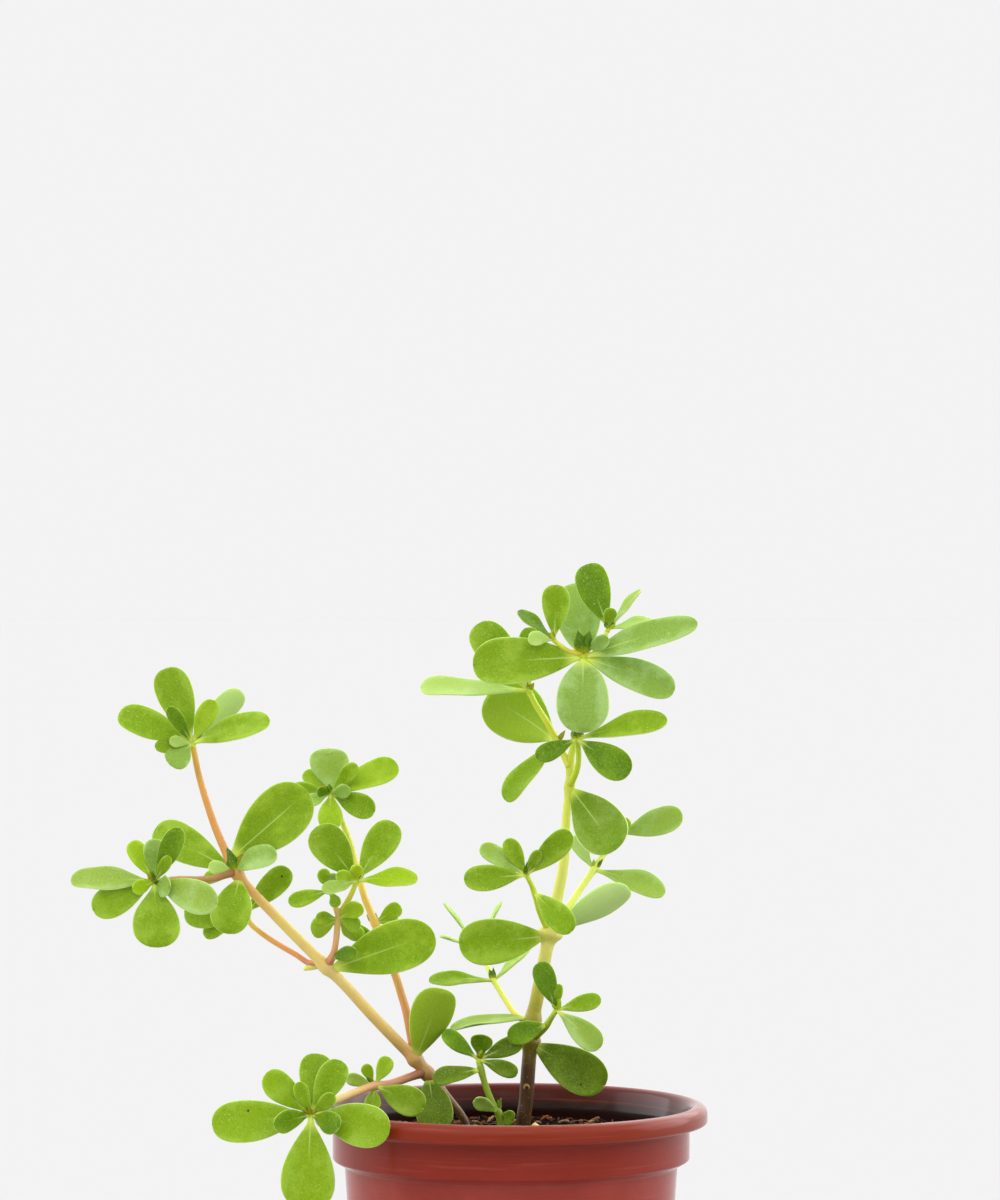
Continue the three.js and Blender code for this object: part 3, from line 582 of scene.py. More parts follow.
def tube(skin, points, radii, wobble, around, **values):
    """A round body along points, turned as little as possible from one to the next."""
    points = np.array(points)
    turns = circle(around)
    ridges = 1 + wobble * (np.sin(3 * turns) + 0.6 * np.sin(5 * turns + 1.7))
    tangents = np.gradient(points, axis=0)
    side = np.cross(tangents[0], (0, -1, 0.1))
    rings = []
    for point, tangent, radius in zip(points, tangents, radii):
        tangent = unit(tangent)
        side = unit(side - tangent * np.dot(side, tangent))
        section = ring(turns, side, np.cross(tangent, side))
        rings.append(point + section * (radius * ridges)[:, None])
    axis = np.zeros((len(points), around, 3))
    axis[..., 0] = travelled(points)[:, None]
    axis[..., 1] = np.cos(turns)
    axis[..., 2] = np.sin(turns)
    skin.loft(np.array(rings), axis=axis, **values)


def stem_piece(name, material):
    line = stem_line(name)
    radii, colours = STEMS[name][3:]
    shares = np.linspace(0, 1, max(FEWEST_RINGS, round(line.length / STEM_STEP)))
    points = [line.point(line.place(share)) for share in shares]
    girth = steps(radii, shares)[:, 0]
    for joint in joints_on(name):
        girth = girth * (1 + JOINT_SWELL * swell((shares - joint) * line.length, JOINT_REACH))
    if STEMS[name][0]:
        girth = girth * (1 + FOOT_SWELL * swell(shares * line.length, FOOT_REACH))
    # Painted glow: the tones are brightened for light shining through the stem.
    shades = np.array([srgb(colour) for colour in colours]) * STEM_GLOW
    skin = Skin()
    tone = steps(shades, shares)[:, None, :]
    tube(skin, points, girth, STEM_RIDGES, STEM_AROUND, tone=tone)
    skin.piece(name + "_skin", material, "stem", [name])


def scars_piece(material):
    skin = Skin()
    for ends, radius, colour in SCARS:
        low, high = np.array(ends, float) + (0, 0, SOIL_TOP)
        line = [low * (1 - share) + high * share for share in np.linspace(0, 1, len(SCAR_GIRTH))]
        tube(skin, line, radius * SCAR_GIRTH, SCAR_RIDGES, SCAR_AROUND, tone=srgb(colour))
    skin.piece("stem_scars", material, "stem")


# ---- leaves

FRONT = np.array([0.0, -1.0, 0.0])
COLLAR = 1.4  # swelling of a node beyond the stem
LEAF_THICKNESS = 1.3
LEAF_CUP = 0.12  # how high the edges stand, as a part of the width
BLADE_WIDEST = 0.69  # where a blade is widest, as a share of its length
FLANK = 1.02  # more draws a blade's base out into a stalk
BLUNT = 2.3  # 2 is a half ellipse, more is squarer
TIP_RADIUS = 0.05
STALK_RADIUS, STALK_GROWTH = 0.35, 0.035  # a stalk's radius and what each mm of width adds
FEWEST_ROWS, MOST_ROWS = 12, 34  # of points along a blade, otherwise one for each mm
WIDE_BLADE = 7  # a blade that is wider has more points round it
NO_BEND = 1e-6
STALK_DEPTH = 0.85  # a stalk's thickness as a part of its width
PLUMP = 0.75  # 1 is an oval section, less is fuller
GROOVE_DEPTH, GROOVE_REACH = 0.16, 0.7
CURL, CURLS = 0.25, 11  # the height of the curls at the edges and their turns along a blade
WAVES = (0.3, 0.8)  # the least and most height of an edge's waves on a blade 12 mm wide
SWAY = 0.035  # the most that a blade's tip lies to a side, as a part of its length
NOTCH = 0.03  # the most that its tip is notched, as a part of its length
TWIST = 9  # the most that it twists, in degrees
SHADES = (0.92, 1.08)  # the darkest and lightest blade of a tone
POD_LEAN = (0, 0.55, 0.35)  # what turns pods back and up
POD_LENGTH, POD_RADIUS = 1.2, 0.48  # for a row's length and width
SMALL_LENGTHS, SMALL_RADII = (2.8, 4.8), (0.6, 0.95)  # of the small pods at a node
TIP_PODS, SIDE_PODS = 5, 2  # how many of those a stem's tip and a node on its side have
SPOT_RADIUS, SPOT_SUNK = 0.45, 0.25


def leaf_material():
    """Succulent leaf skin: patchy green with a fine grain, pale dots, midrib and rim, and a
    painted sheen that lightens the blade at its edges.
    """
    n = Surface("leaf_skin")
    where = n.place()
    along, sideways, edge = n.parts(n.attribute("blade"))
    face, midrib, rim = n.parts(n.attribute("marks"))
    cloud = n.noise(where, 110, 3, 0.6)
    # Painted sheen: towards its edges the blade is pushed to its lighter patch colour, and away
    # from it in the middle, for light catching its rims; the cloud alone gives real patches.
    edge_sheen = n.math("POWER", n.size(edge), 2.0)
    patches_and_edge_sheen = n.math("ADD", cloud, n.ramp(edge_sheen, 0, 1, -0.08, 0.1))
    upper = n.mix(n.ramp(patches_and_edge_sheen, 0.38, 0.66), n.attribute("tone"), n.attribute("patch"))
    colour = n.mix(n.ramp(face, -0.25, 0.25), n.attribute("under"), upper)
    grain = n.noise(where, 1900, 2, 0.6)
    colour = n.tint(n.ramp(grain, 0.4, 0.75, 0, 0.22), colour, (176, 204, 84))
    colour = n.tint(n.ramp(grain, 0.25, 0.45, 0.25, 0), colour, (70, 110, 0))
    dots = n.ramp(n.cells(where, 900), 0.1, 0.22, 0.4, 0)
    scatter = n.ramp(n.noise(where, 260, 1), 0.5, 0.64)
    colour = n.tint(n.times(dots, scatter), colour, PALE_MARK)
    rib = n.ramp(n.size(sideways), 0.06, 0.36, 1, 0)
    fade = n.ramp(n.math("SUBTRACT", along, midrib), -0.1, 0.2, 1, 0)
    colour = n.tint(n.times(rib, n.times(fade, 0.5)), colour, (196, 216, 126))
    margin = n.times(n.ramp(n.size(edge), 0.94, 1.0), rim)
    colour = n.tint(margin, colour, PALE_MARK)
    stalk = n.ramp(along, 0.04, 0.22, 1.0, 0)
    return n.made(
        Base_Color=n.tint(stalk, colour, PETIOLE),
        Roughness=n.ramp(grain, 0.2, 0.8, 0.42, 0.56),
        Normal=n.bump(n.math("ADD", n.times(grain, 0.5), cloud), 0.3, 0.0002),
        Subsurface_Weight=0.25,
        Subsurface_Radius=(0.7, 1.0, 0.1),
        Subsurface_Scale=0.002,
        Specular_IOR_Level=0.14,
    )


def outline(place, widest, flank):
    """The half width of a blade from 0 to 1: a wedge up to its widest place, then a blunt tip."""
    wedge = np.sin(np.pi / 2 * np.clip(place / widest, 0, 1) ** flank)
    beyond = np.clip((place - widest) / (1 - widest), 0, 1)
    return wedge * (1 - beyond ** BLUNT) ** (1 / BLUNT)


def leaf_frame(heading, lean, roll):
    """The directions along a blade, across it and out of its upper face."""
    turn, tilt, spin = np.radians([heading, lean, roll])
    flat = math.cos(tilt)
    along = np.array([flat * math.cos(turn), -math.sin(tilt), flat * math.sin(turn)])
    facing = unit(FRONT - along * np.dot(FRONT, along))
    up = np.cross(facing, along) * (-1 if math.cos(turn) < 0 else 1)
    normal = facing * math.cos(spin) + up * math.sin(spin)
    return along, np.cross(along, normal), normal


def leaf(skin, start, tangent, inset, row, chance):
    """One row's pod, or its blade with a stalk: a flattened, cupped and slightly wavy body."""
    heading, lean, reach, width, roll, bend, tone = row[:7]
    traits = row[7] if len(row) > 7 else {}
    along, across, normal = leaf_frame(heading, lean, roll)
    if tone in POD_TONES:
        pod(skin, start - tangent, along, reach * POD_LENGTH, width * POD_RADIUS, tone)
        return

    # Shares of the length go down the rows and turns round the blade along them.
    rows = int(np.clip(reach, FEWEST_ROWS, MOST_ROWS))
    share = 1 - (1 - np.linspace(0, 1, rows)[:, None]) ** 1.5
    turns = circle(24 if width > WIDE_BLADE else 16)
    side, face = np.cos(turns), np.sin(turns)
    blade = np.clip((share * reach - inset) / (reach - inset), 0, 1)
    spread = outline(blade, traits.get("widest", BLADE_WIDEST), traits.get("flank", FLANK))
    stalk = (STALK_RADIUS + STALK_GROWTH * width) * smooth(1, 0.96, share)
    half = ((spread * width / 2) ** 3 + stalk ** 3) ** (1 / 3)
    thin = LEAF_THICKNESS / 2 * min(1, 0.6 + width / 20)  # less on a narrow blade
    thick = np.maximum(thin * np.sqrt(spread), stalk * STALK_DEPTH)
    half[-1] = thick[-1] = TIP_RADIUS

    # The arch that the bend gives, then the section with its cup, groove, waves and twist.
    arch = math.radians(bend) or NO_BEND
    reached = (reach / arch) * (math.sin(arch / 2) - np.sin(arch / 2 - arch * share))
    rise = (reach / arch) * (np.cos(arch / 2 - arch * share) - math.cos(arch / 2))
    sideways = half * side
    plump = np.sign(face) * np.abs(face) ** PLUMP
    height = thick * plump + LEAF_CUP * 4 * sideways ** 2 / width
    height = height + traits.get("fold", 0) * np.abs(sideways)
    height = height - GROOVE_DEPTH * swell(sideways, GROOVE_REACH) * (1 - share) * spread
    wave = chance.uniform(*WAVES) * width / 12
    phase = chance.uniform(0, 6.28)
    height = height + wave * side ** 3 * spread * np.sin(share * chance.uniform(5, 9) + phase)
    height = height + CURL * side ** 2 * spread * np.sin(share * CURLS + phase)
    sway = chance.uniform(-SWAY, SWAY) * reach * share ** 2
    notch = traits.get("notch", chance.uniform(0, NOTCH)) * reach
    dip = notch * swell(side, 0.35) * smooth(0.85, 1, share)
    twist = math.radians(chance.uniform(-TWIST, TWIST)) * share
    turned = sideways * np.cos(twist) - height * np.sin(twist) + sway
    lifted = sideways * np.sin(twist) + height * np.cos(twist) + rise
    rings = start + (reached - dip)[..., None] * along
    rings = rings + turned[..., None] * across + lifted[..., None] * normal

    light = chance.uniform(*SHADES)
    midrib = traits.get("midrib", chance.uniform(0.1, 0.4))
    every = np.ones(sideways.shape)
    blade = np.stack([share * every, sideways, side * every], axis=-1)
    marks = np.stack([face * every, midrib * every, traits.get("rim", 0.5) * every], axis=-1)
    tone, patch, under = (srgb(colour) * light for colour in TONES[tone])
    skin.loft(rings, blade=blade, marks=marks, tone=tone, patch=patch, under=under)
    if "dot" in traits:
        down, right = traits["dot"]
        column = int(np.argmin(np.abs(side - right) + (face < 0)))
        centre = rings[int(np.searchsorted(share[:, 0], down)), column]
        drop(skin, centre - normal * SPOT_SUNK, normal, SPOT_RADIUS, SPOT_RADIUS, DARK_SPOT, 0.6)


def plain_values(tone, patch=1.2):
    """What the leaf material reads on a body that has none of a blade's marks."""
    past_stalk_and_rib = np.array([1.0, 9.0, 0.0])
    upper_face = np.array([1.0, 0.0, 0.0])
    return {"blade": past_stalk_and_rib, "marks": upper_face,
            "tone": tone, "patch": tone * patch, "under": tone}


def bulb(skin, base, along, beside, length, girth, ridges, values):
    """A closed body on an axis, from its radii at even steps and its ridges at even turns."""
    along = unit(along)
    side = unit(np.cross(along, beside))
    section = ring(circle(len(ridges)), side, np.cross(along, side)) * ridges[:, None]
    centres = base + np.outer(np.linspace(0, 1, len(girth)) * length, along)
    skin.loft(centres[:, None, :] + girth[:, None, None] * section, **values)


def drop(skin, base, along, length, radius, colour, point):
    """A teardrop body. More point draws its tip out."""
    beside = (1, 0, 0) if abs(along[0]) < 0.8 else (0, 1, 0)
    share = np.linspace(0, 1, 11)
    girth = radius * np.sin(np.pi * share ** 0.7).clip(0.03) ** (0.7 * point)
    values = plain_values(srgb(colour))
    bulb(skin, base, along, beside, length, girth, np.ones(10), values)


def pod(skin, base, along, length, radius, tone):
    """A ridged seed pod with a drawn-out tip."""
    share = np.linspace(0, 1, 14)
    girth = radius * np.sin(np.pi * share ** 0.75).clip(0.03) ** 0.9 * (1.15 - 0.3 * share)
    ridges = 1 + 0.13 * np.cos(4 * circle(16))
    low, high = (srgb(colour) for colour in POD_TONES[tone])
    blend = smooth(0.05, 0.5, share)[:, None, None]
    values = plain_values(low * (1 - blend) + high * blend, 1.5)
    bulb(skin, base, along + POD_LEAN, (0, 1, 0.3), length, girth, ridges, values)


def leaf_piece(name, material):
    stem, at, rows = LEAVES[name]
    chance = random.Random(name)
    start, tangent, radius = stem_place(stem, at)
    swelling = radius + COLLAR
    if at is None:
        start = start + tangent * swelling / 2
    several = len(rows) > 1
    inset = swelling * 0.5 if several else 0
    skin = Skin()
    for row in rows:
        leaf(skin, start, tangent, inset, row, chance)
    if several:
        base = start - tangent * radius * 2
        drop(skin, base, tangent, radius * 3, radius * 1.1, NODE_GREEN, 0.7)
    for _ in range(TIP_PODS if at is None and len(rows) > 2 else SIDE_PODS if several else 0):
        aside = [chance.uniform(-1, 1), chance.uniform(-1.1, -0.2), chance.uniform(-0.4, 0.9)]
        along = unit(tangent * chance.uniform(0.6, 1.2) + np.array(aside))
        length, size = chance.uniform(*SMALL_LENGTHS), chance.uniform(*SMALL_RADII)
        pod(skin, start + along * 0.3, along, length, size, chance.choice(SMALL_POD_TONES))
    skin.piece(name + "_foliage", material, "leaf", [name])


# ---- pot

LIP_HEIGHT = 6.5
LIP_OVERHANG = 6
BAND_HEIGHT = 13
BAND_STEP = 4
BASE_RADIUS = 49.5
BASE_ROUND = 2.5
FOOT_RING = 8.2  # the width of the ring that the pot stands on, with its rounded edge
FOOT_HOLLOW = 0.6  # how far the underside within that ring is raised
POT_WALL = 1.6
POT_FLOOR = 2.4
DRAIN_COUNT = 6
DRAIN_RADIUS = 4.5
DRAIN_RING_RADIUS = 33
LIP_BOTTOM = POT_HEIGHT - LIP_HEIGHT
BAND_BOTTOM = LIP_BOTTOM - BAND_HEIGHT
STEP_TOP = BAND_BOTTOM + BAND_STEP / 3
BAND_RADIUS = LIP_RADIUS - LIP_OVERHANG
WALL_TOP_RADIUS = BAND_RADIUS - BAND_STEP
INNER_BAND = BAND_RADIUS - POT_WALL
INNER_WALL_TOP = WALL_TOP_RADIUS - POT_WALL
CORNER = 1.2  # the rounding below the step and under the lip
INNER_DROP = 0.8  # how far below the band the wall starts on the inside
AXIS_GAP = 0.02  # the radius of the first and last rings
POT_AROUND = 200


def pot_material():
    """Moulded nursery-pot plastic: faint rings, scuffs, pits and dust, with painted light on the
    outer wall and painted shade within.
    """
    n = Surface("pot_plastic")
    where = n.place()
    radius, height, turn = n.parts(n.attribute("lathe"))
    rings = n.noise(n.vector(n.times(turn, 2.0), height, radius), 0.9, 3, 0.6)
    cloud = n.noise(where, 34, 4, 0.6)
    patches = n.ramp(cloud, 0.35, 0.68)
    # Painted light: the wall is given a lighter, pinker tone than the band of the same plastic,
    # for the stronger light and sheen it shows.
    wall = n.mix(patches, srgb((134, 46, 36)), srgb((146, 56, 46)))
    band = n.mix(patches, srgb((124, 32, 16)), srgb((132, 38, 24)))
    colour = n.mix(n.ramp(height, BAND_BOTTOM, STEP_TOP), wall, band)
    colour = n.tint(n.ramp(height, LIP_BOTTOM - 0.5, LIP_BOTTOM + 0.5), colour, (122, 36, 12))
    # Painted shade: the inner wall and the inner face of the lip are painted nearly black, a
    # little lighter towards the rim.
    inside = n.ramp(radius, BAND_RADIUS - 1.1, BAND_RADIUS - 0.5, 1, 0)
    inner_lip = n.ramp(radius, LIP_RADIUS - 5.5, LIP_RADIUS - 3.2, 1, 0)
    inner_lip = n.times(inner_lip, n.ramp(height, LIP_BOTTOM + 1, LIP_BOTTOM + 2))
    inside = n.math("MAXIMUM", inside, inner_lip)
    inside = n.times(inside, n.ramp(height, BAND_BOTTOM + 1, BAND_BOTTOM + 3))
    shade = n.mix(n.ramp(height, LIP_BOTTOM - 2, POT_HEIGHT), srgb((20, 1, 0)), srgb((80, 14, 6)))
    colour = n.mix(n.times(inside, 0.97), colour, shade)
    streak = n.times(n.ramp(rings, 0.55, 0.75, 0, 0.2), n.ramp(inside, 0, 0.5, 1, 0))
    colour = n.tint(streak, colour, (170, 88, 74))
    scuffs = n.noise(n.vector(n.times(turn, 9.0), height, radius), 6, 5, 0.7)
    colour = n.tint(n.ramp(scuffs, 0.66, 0.78, 0, 0.3), colour, (190, 120, 104))
    pits = n.ramp(n.cells(where, 240), 0.02, 0.06, 0.75, 0)
    scatter = n.ramp(n.noise(where, 60, 1), 0.5, 0.6)
    return n.made(
        Base_Color=n.tint(n.times(pits, scatter), colour, (74, 20, 14)),
        Roughness=n.ramp(cloud, 0.3, 0.7, 0.42, 0.54),
        Normal=n.bump(n.math("ADD", rings, n.noise(where, 700, 2)), 0.12, 0.0003),
        Specular_IOR_Level=0.1,
        Coat_Weight=1.0,
        Coat_IOR=1.2,
        Coat_Roughness=0.16,
    )


def wall_radius(z):
    share = (z - BASE_ROUND) / (BAND_BOTTOM - BASE_ROUND)
    return BASE_RADIUS + (WALL_TOP_RADIUS - BASE_RADIUS) * share


def arc(radius, height, size, start, end, count=8):
    """Profile points on a circle from one angle to another, in degrees."""
    angles = np.radians(np.linspace(start, end, count))
    return [(radius + size * math.cos(a), height + size * math.sin(a)) for a in angles]


def straight(start, end, count):
    """Profile points on a line, without its end."""
    shares = np.linspace(0, 1, count, endpoint=False)
    return [tuple(np.array(start) * (1 - s) + np.array(end) * s) for s in shares]


def pot_profile():
    """The pot's section from the middle of its underside round to the middle of its floor."""
    lip = LIP_HEIGHT / 2
    crest = POT_HEIGHT - lip
    stand = BASE_RADIUS - FOOT_RING
    foot = BASE_RADIUS - BASE_ROUND
    points = [(AXIS_GAP, FOOT_HOLLOW), *straight((stand - 0.8, FOOT_HOLLOW), (stand, 0), 3)]
    points += straight((stand, 0), (foot, 0), 4)
    points += arc(foot, BASE_ROUND, BASE_ROUND, -90, 0)
    points += straight((BASE_RADIUS, BASE_ROUND + 0.4), (WALL_TOP_RADIUS, BAND_BOTTOM - 1.2), 26)
    points += arc(WALL_TOP_RADIUS + CORNER, BAND_BOTTOM - 1.4, CORNER, 180, 100, 6)
    step_foot = (WALL_TOP_RADIUS + 1.4, BAND_BOTTOM - 0.2)
    points += straight(step_foot, (BAND_RADIUS - 1, STEP_TOP - 0.5), 5)
    points += arc(BAND_RADIUS - 1, STEP_TOP + 0.6, 1, -70, 0, 6)
    points += straight((BAND_RADIUS, STEP_TOP + 1), (BAND_RADIUS, LIP_BOTTOM - 0.4), 12)
    points += straight((BAND_RADIUS + 0.3, LIP_BOTTOM), (LIP_RADIUS - 1.6, LIP_BOTTOM + 0.1), 6)
    points += arc(LIP_RADIUS - CORNER, LIP_BOTTOM + 1.3, CORNER, -90, 0, 6)
    points += arc(LIP_RADIUS - lip, crest, lip, 0, 90, 10)[1:]
    points += arc(LIP_RADIUS - LIP_OVERHANG / 2, crest, lip, 90, 150, 8)[1:]
    points += straight((INNER_BAND + 0.4, LIP_BOTTOM), (INNER_BAND, LIP_BOTTOM - 1.5), 4)
    points += straight((INNER_BAND, LIP_BOTTOM - 1.5), (INNER_BAND, STEP_TOP), 6)
    inner_step = (INNER_WALL_TOP, BAND_BOTTOM - INNER_DROP)
    points += straight((INNER_BAND, STEP_TOP), inner_step, 3)
    inner_base = wall_radius(POT_FLOOR) - POT_WALL
    points += straight(inner_step, (inner_base, POT_FLOOR), 8)
    return points + [(radius, POT_FLOOR) for radius in (inner_base, inner_base / 2, AXIS_GAP)]


def pot_ripple(radius, height, turn):
    """The slight unevenness of a thin moulded wall."""
    if radius < BASE_RADIUS - BASE_ROUND:
        return 0
    where = Vector((math.cos(turn) * 1.6, math.sin(turn) * 1.6, height / 26))
    return 0.12 * noise.noise(where) - 0.06


def pot_piece(material):
    turns = circle(POT_AROUND)
    rings = []
    for radius, height in pot_profile():
        sizes = np.array([radius + pot_ripple(radius, height, turn) for turn in turns])
        heights = np.full(POT_AROUND, height)
        rings.append(np.stack([sizes * np.cos(turns), sizes * np.sin(turns), heights], 1))
    rings = np.array(rings)
    lathe = np.zeros(rings.shape)
    lathe[..., 0] = np.hypot(rings[..., 0], rings[..., 1])
    lathe[..., 1] = rings[..., 2]
    lathe[..., 2] = turns
    skin = Skin()
    skin.loft(rings, lathe=lathe)
    pot = skin.piece("pot_shell", material, "terracotta_plastic", ["pot"])
    cutter = Skin()
    for i in range(DRAIN_COUNT):
        turn = 2 * math.pi * (i + 0.5) / DRAIN_COUNT
        centre = DRAIN_RING_RADIUS * np.array([math.cos(turn), math.sin(turn), 0])
        ends = [centre + (0, 0, z) for z in (-3, 0, 3, 6)]
        tube(cutter, ends, [DRAIN_RADIUS] * len(ends), 0, 32)
    holes = cutter.piece("drain_cutter", material, "terracotta_plastic")
    cut = pot.modifiers.new("drain_holes", "BOOLEAN")
    cut.object = holes
    cut.solver = "EXACT"
    bpy.context.view_layer.update()
    depsgraph = bpy.context.evaluated_depsgraph_get()
    mesh = bpy.data.meshes.new_from_object(pot.evaluated_get(depsgraph))
    pot.modifiers.clear()
    pot.data = mesh
    bpy.data.objects.remove(holes)


# ---- soil

SOIL_EDGE_DROP = 5.5
SOIL_EDGE = SOIL_TOP - SOIL_EDGE_DROP
SOIL_GAP = 0.05  # between the soil and the pot's wall
SOIL_RADIUS = INNER_BAND - SOIL_GAP
SOIL_AROUND, SOIL_RINGS, SOIL_MIDDLE = 190, 64, 0.3
SOIL_SHARES = (0, 0.7, 0.9, 1)  # of the radius, and how much of the mound is left there
SOIL_RISES = (1, 0.85, 0.55, 0)
LUMPS = ((1.1, 9), (0.7, 3.4), (0.45, 1.4))  # the height and size of the soil's unevenness
LUMPS_SUNK = 0.5
CHIP_COUNT = 340
CHIP_LENGTHS, CHIP_WIDTHS = (1.8, 6.5), (0.5, 1.6)
CHIP_SECTION = ((-1, -0.35), (-0.4, -0.5), (0.5, -0.4), (1, -0.1), (0.7, 0.4), (-0.6, 0.45))
CHIP_TONES = (
    (186, 128, 70), (206, 156, 96), (166, 92, 44), (194, 104, 44), (128, 74, 38), (104, 62, 34),
    (66, 38, 22), (214, 174, 122), (120, 84, 56), (50, 28, 18), (84, 48, 26), (40, 22, 14))
FIBRE_COUNT = 170
FIBRE_LENGTHS, FIBRE_GIRTHS = (4, 12), (0.12, 0.32)
SHORTEST_FIBRE = 5  # points; one that the pot's wall cuts shorter is left out


def soil_material():
    """Moist potting mix: dark crumbs with brown and tan grains."""
    n = Surface("potting_soil")
    where = n.place()
    cloud = n.noise(where, 240, 5, 0.7)
    colour = n.mix(n.ramp(cloud, 0.35, 0.7), srgb((3, 1, 1)), srgb((16, 8, 4)))
    grains = n.ramp(n.noise(where, 1300, 2), 0.62, 0.72)
    return n.made(
        Base_Color=n.tint(n.times(grains, 0.35), colour, (96, 54, 28)),
        Roughness=n.ramp(cloud, 0.3, 0.7, 0.75, 0.98),
        Normal=n.bump(n.math("SUBTRACT", cloud, n.cells(where, 700)), 0.8, 0.001),
        Specular_IOR_Level=0.02,
    )


def chip_material():
    """Bark, wood and fibre: each bit has its own tone, with a grain along it."""
    n = Surface("bark_and_fibre")
    along, right, front = n.parts(n.attribute("axis"))
    grain = n.noise(n.vector(n.times(along, 0.5), right, front), 2.6, 4, 0.65)
    dark = n.ramp(grain, 0.35, 0.7, 0.4, 0.9)
    return n.made(
        Base_Color=n.tint(dark, n.attribute("tone"), (54, 32, 20), "MULTIPLY"),
        Roughness=n.ramp(grain, 0.3, 0.7, 0.7, 0.9),
        Normal=n.bump(grain, 0.6, 0.0004),
        Specular_IOR_Level=0.12,
    )


def soil_height(x, y):
    """The height of the soil's crumbly surface at a place."""
    share = math.hypot(x, y) / SOIL_RADIUS
    mound = SOIL_EDGE + SOIL_EDGE_DROP * np.interp(share, SOIL_SHARES, SOIL_RISES)
    where = Vector((x, y, 0))
    return mound + sum(high * noise.noise(where / size) for high, size in LUMPS) - LUMPS_SUNK


def soil_piece(material):
    turns = circle(SOIL_AROUND)
    rings = []
    for radius in np.linspace(SOIL_MIDDLE, SOIL_RADIUS, SOIL_RINGS):
        places = [(radius * math.cos(a), radius * math.sin(a)) for a in turns]
        rings.append([(x, y, soil_height(x, y)) for x, y in places])
    wall = POT_WALL + SOIL_GAP
    low = POT_FLOOR + 0.1
    sides = [(SOIL_RADIUS, STEP_TOP + 0.3), (WALL_TOP_RADIUS - wall, BAND_BOTTOM - INNER_DROP)]
    sides += [(wall_radius(low) - wall, low), (SOIL_MIDDLE, low)]
    for radius, height in sides:
        rings.append([(radius * math.cos(a), radius * math.sin(a), height) for a in turns])
    skin = Skin()
    skin.loft(np.array(rings))
    skin.piece("soil_body", material, "potting_soil", ["soil"])


def soil_place(chance):
    """A random place on the soil, as a point on its surface."""
    radius = SOIL_RADIUS * 0.95 * math.sqrt(chance.random())
    turn = chance.uniform(0, 2 * math.pi)
    x, y = radius * math.cos(turn), radius * math.sin(turn)
    return np.array([x, y, soil_height(x, y)])


def chip_tone(chance):
    return srgb(chance.choice(CHIP_TONES))


def chips_piece(material):
    """Flat broken bits of bark and wood lying on the soil."""
    chance = random.Random("bark chips")
    shares = np.linspace(0, 1, 6)
    skin = Skin()
    for _ in range(CHIP_COUNT):
        centre = soil_place(chance)
        length = chance.uniform(*CHIP_LENGTHS)
        width = chance.uniform(*CHIP_WIDTHS)
        turn = chance.uniform(0, 2 * math.pi)
        slope = chance.uniform(-0.7, 0.7)
        along = unit(np.array([math.cos(turn), math.sin(turn), slope]))
        side = unit(np.cross(along, (0, 0, 1)))
        up = np.cross(side, along)
        widths = width * (0.4 + 0.6 * np.sin(np.pi * (shares * 0.8 + 0.1)))
        widths = widths * np.array([chance.uniform(0.7, 1.2) for _ in shares])
        rings = []
        for share, wide in zip(shares, widths):
            middle = centre + along * (share - 0.5) * length + up * 0.4
            middle = middle + up * 0.4 * math.sin(math.pi * share)
            rings.append([middle + side * a * wide / 2 + up * b * 0.7 for a, b in CHIP_SECTION])
        axis = np.zeros((len(shares), len(CHIP_SECTION), 3))
        axis[..., 0] = (shares * length)[:, None]
        axis[..., 1] = [a for a, _ in CHIP_SECTION]
        axis[..., 2] = chance.uniform(0, 9)
        skin.loft(np.array(rings), axis=axis, tone=chip_tone(chance))
    skin.piece("soil_bark_chips", material, "potting_soil")


def fibres_piece(material):
    """Thin curved fibres and root hairs between the chips."""
    chance = random.Random("soil fibres")
    skin = Skin()
    for _ in range(FIBRE_COUNT):
        centre = soil_place(chance)
        length = chance.uniform(*FIBRE_LENGTHS)
        turn = chance.uniform(0, 2 * math.pi)
        curl = chance.uniform(-0.8, 0.8)
        lift = chance.uniform(0.2, 1.2)
        points = []
        for share in np.linspace(-0.5, 0.5, 9):
            heading = turn + curl * share
            x = centre[0] + math.cos(heading) * share * length
            y = centre[1] + math.sin(heading) * share * length
            if math.hypot(x, y) > SOIL_RADIUS - 0.8:
                break
            z = soil_height(x, y) + lift * (1.2 - 4 * share * share) * 0.7
            points.append((x, y, z))
        if len(points) < SHORTEST_FIBRE:
            continue
        tone = chip_tone(chance)
        girth = chance.uniform(*FIBRE_GIRTHS)
        radii = girth * np.sin(np.linspace(0.25, math.pi - 0.25, len(points)))
        tube(skin, points, radii, 0.1, 6, tone=tone)
    skin.piece("soil_fibres", material, "potting_soil")


# ---- the object

leaf_skin = leaf_material()
stem_skin = stem_material()
bark = chip_material()
pot_piece(pot_material())
soil_piece(soil_material())
chips_piece(bark)
fibres_piece(bark)
for stem_name in STEMS:
    stem_piece(stem_name, stem_skin)
scars_piece(stem_skin)
for leaves_name in LEAVES:
    leaf_piece(leaves_name, leaf_skin)


# ---- floor, light and camera

WHITE = (1, 1, 1)
BACKDROP = 0.896  # the pale studio white
FRONT_LIGHT = 0.4  # what the room gives from the camera's side
BACK_LIGHT = 0.75  # how much more it gives from behind the plant
BACK_FROM, BACK_TO = -0.4, 0.8  # where that rises, as a part of the way back
TOP_LIGHT = 0.5  # how much more it gives from above
FLOOR_SHADE = 0.4  # the part of the floor's brightness that shadows can take
FLOOR_RADIUS, FLOOR_DROP = 60, 0.0004  # in metres, like the camera's place
KEY_LIGHTS = (  # strength, softness, elevation and the side that it comes from, in degrees
    (1.3, 70, 40, -35),
    (0.9, 70, 35, 40),
    (0.8, 50, 40, 150),
    (1.6, 50, 18, -104),
    (1.6, 50, 18, 104),
)
LENS, SENSOR = 132, 36
CAMERA_PLACE = (-0.00367, -1.467, 0.2838)


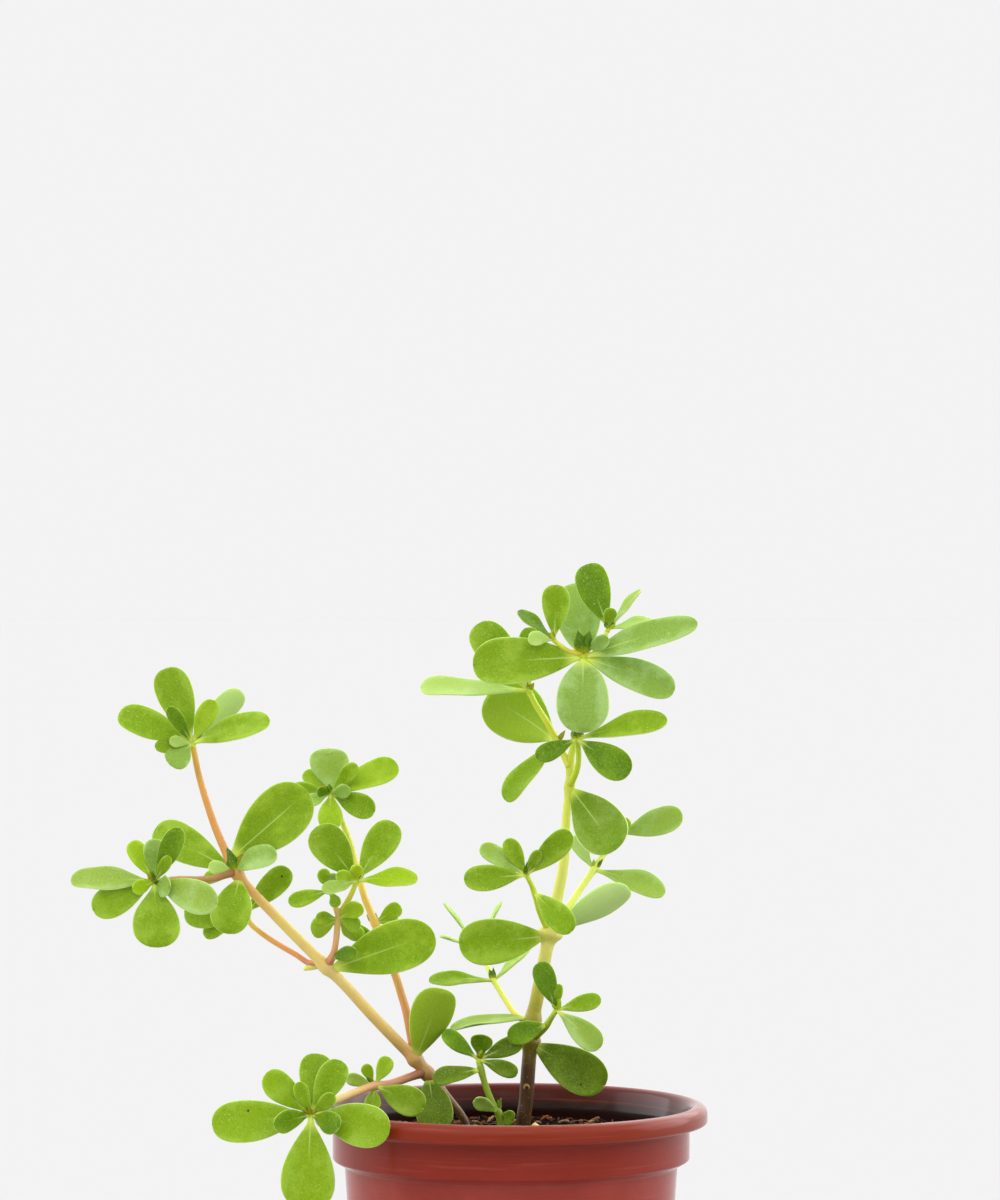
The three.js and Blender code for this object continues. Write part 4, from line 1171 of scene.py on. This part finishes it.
def room_light(back, up):
    """The room's light from a direction, the same as the world's nodes give."""
    return FRONT_LIGHT + BACK_LIGHT * smooth(BACK_FROM, BACK_TO, back) + TOP_LIGHT * max(up, 0)


def light_on_floor():
    """The mean light that falls on the floor from the room and the lamps."""
    total = weights = 0
    for high in np.radians(np.arange(2.5, 90, 5)):
        weight = math.sin(high) * math.cos(high)
        for turn in np.radians(np.arange(0, 360, 10)):
            total += weight * room_light(math.cos(high) * math.sin(turn), math.sin(high))
            weights += weight
    lit = sum(strength * math.sin(math.radians(high)) for strength, _, high, _ in KEY_LIGHTS)
    return total / weights + lit / math.pi


def world():
    """Light that is stronger from behind and above; what is seen of it is a plain white."""
    made = bpy.data.worlds.new("studio")
    made.use_nodes = True
    n = Nodes(made.node_tree)
    _, back, up = n.parts(n.add("ShaderNodeTexCoord", "Generated"))
    behind = n.ramp(back, BACK_FROM, BACK_TO, 0, BACK_LIGHT)
    above = n.add("ShaderNodeMapRange", 0, {"Value": up, "To Max": TOP_LIGHT})
    room = n.math("ADD", n.math("ADD", behind, above), FRONT_LIGHT)
    light = n.tree.nodes["Background"]
    n.put(light.inputs["Color"], WHITE)
    n.put(light.inputs["Strength"], room)
    seen = n.add("ShaderNodeBackground", 0, {"Color": WHITE, "Strength": BACKDROP})
    camera_ray = n.add("ShaderNodeLightPath", "Is Camera Ray")
    mixed = n.add("ShaderNodeMixShader", 0, {0: camera_ray, 1: light.outputs[0], 2: seen})
    n.put(n.tree.nodes["World Output"].inputs[0], mixed)
    return made


def lamps():
    for number, (strength, softness, elevation, azimuth) in enumerate(KEY_LIGHTS):
        data = bpy.data.lights.new(f"key_{number}", "SUN")
        data.energy = strength
        data.angle = math.radians(softness)
        lamp = bpy.data.objects.new(f"key_{number}", data)
        high, turn = math.radians(elevation), math.radians(azimuth)
        flat = math.cos(high)
        towards = Vector((flat * math.sin(turn), -flat * math.cos(turn), math.sin(high)))
        lamp.rotation_mode = "QUATERNION"
        lamp.rotation_quaternion = towards.to_track_quat("Z", "Y")
        bpy.context.scene.collection.objects.link(lamp)


def floor():
    """A wide pale floor as bright as the backdrop, so that no horizon shows."""
    n = Surface("pale_floor")
    grey = BACKDROP * FLOOR_SHADE / light_on_floor()
    grain = n.ramp(n.noise(n.place(), 40, 3), 0.3, 0.7)
    material = n.made(
        Base_Color=n.mix(grain, (grey * 0.998,) * 3, (grey * 1.002,) * 3),
        Roughness=1.0,
        Specular_IOR_Level=0.0,
        Emission_Color=WHITE,
        Emission_Strength=BACKDROP * (1 - FLOOR_SHADE),
    )
    mesh = bpy.data.meshes.new("floor")
    rim = FLOOR_RADIUS * ring(circle(96), (1, 0, 0), (0, 1, 0)) - (0, 0, FLOOR_DROP)
    mesh.from_pydata(rim.tolist(), [], [tuple(range(len(rim)))])
    mesh.materials.append(material)
    made = bpy.data.objects.new("floor", mesh)
    bpy.context.scene.collection.objects.link(made)


def camera():
    """A level long lens in front of the pot, a little above the middle of the plant."""
    data = bpy.data.cameras.new("camera")
    data.lens = LENS
    data.sensor_width = SENSOR
    data.clip_start = 0.1
    data.clip_end = 200
    seen_from = bpy.data.objects.new("camera", data)
    seen_from.location = CAMERA_PLACE
    seen_from.rotation_euler = (math.pi / 2, 0, 0)
    bpy.context.scene.collection.objects.link(seen_from)
    bpy.context.scene.camera = seen_from


bpy.context.scene.view_settings.view_transform = "Standard"
bpy.context.scene.world = world()
lamps()
floor()
camera()
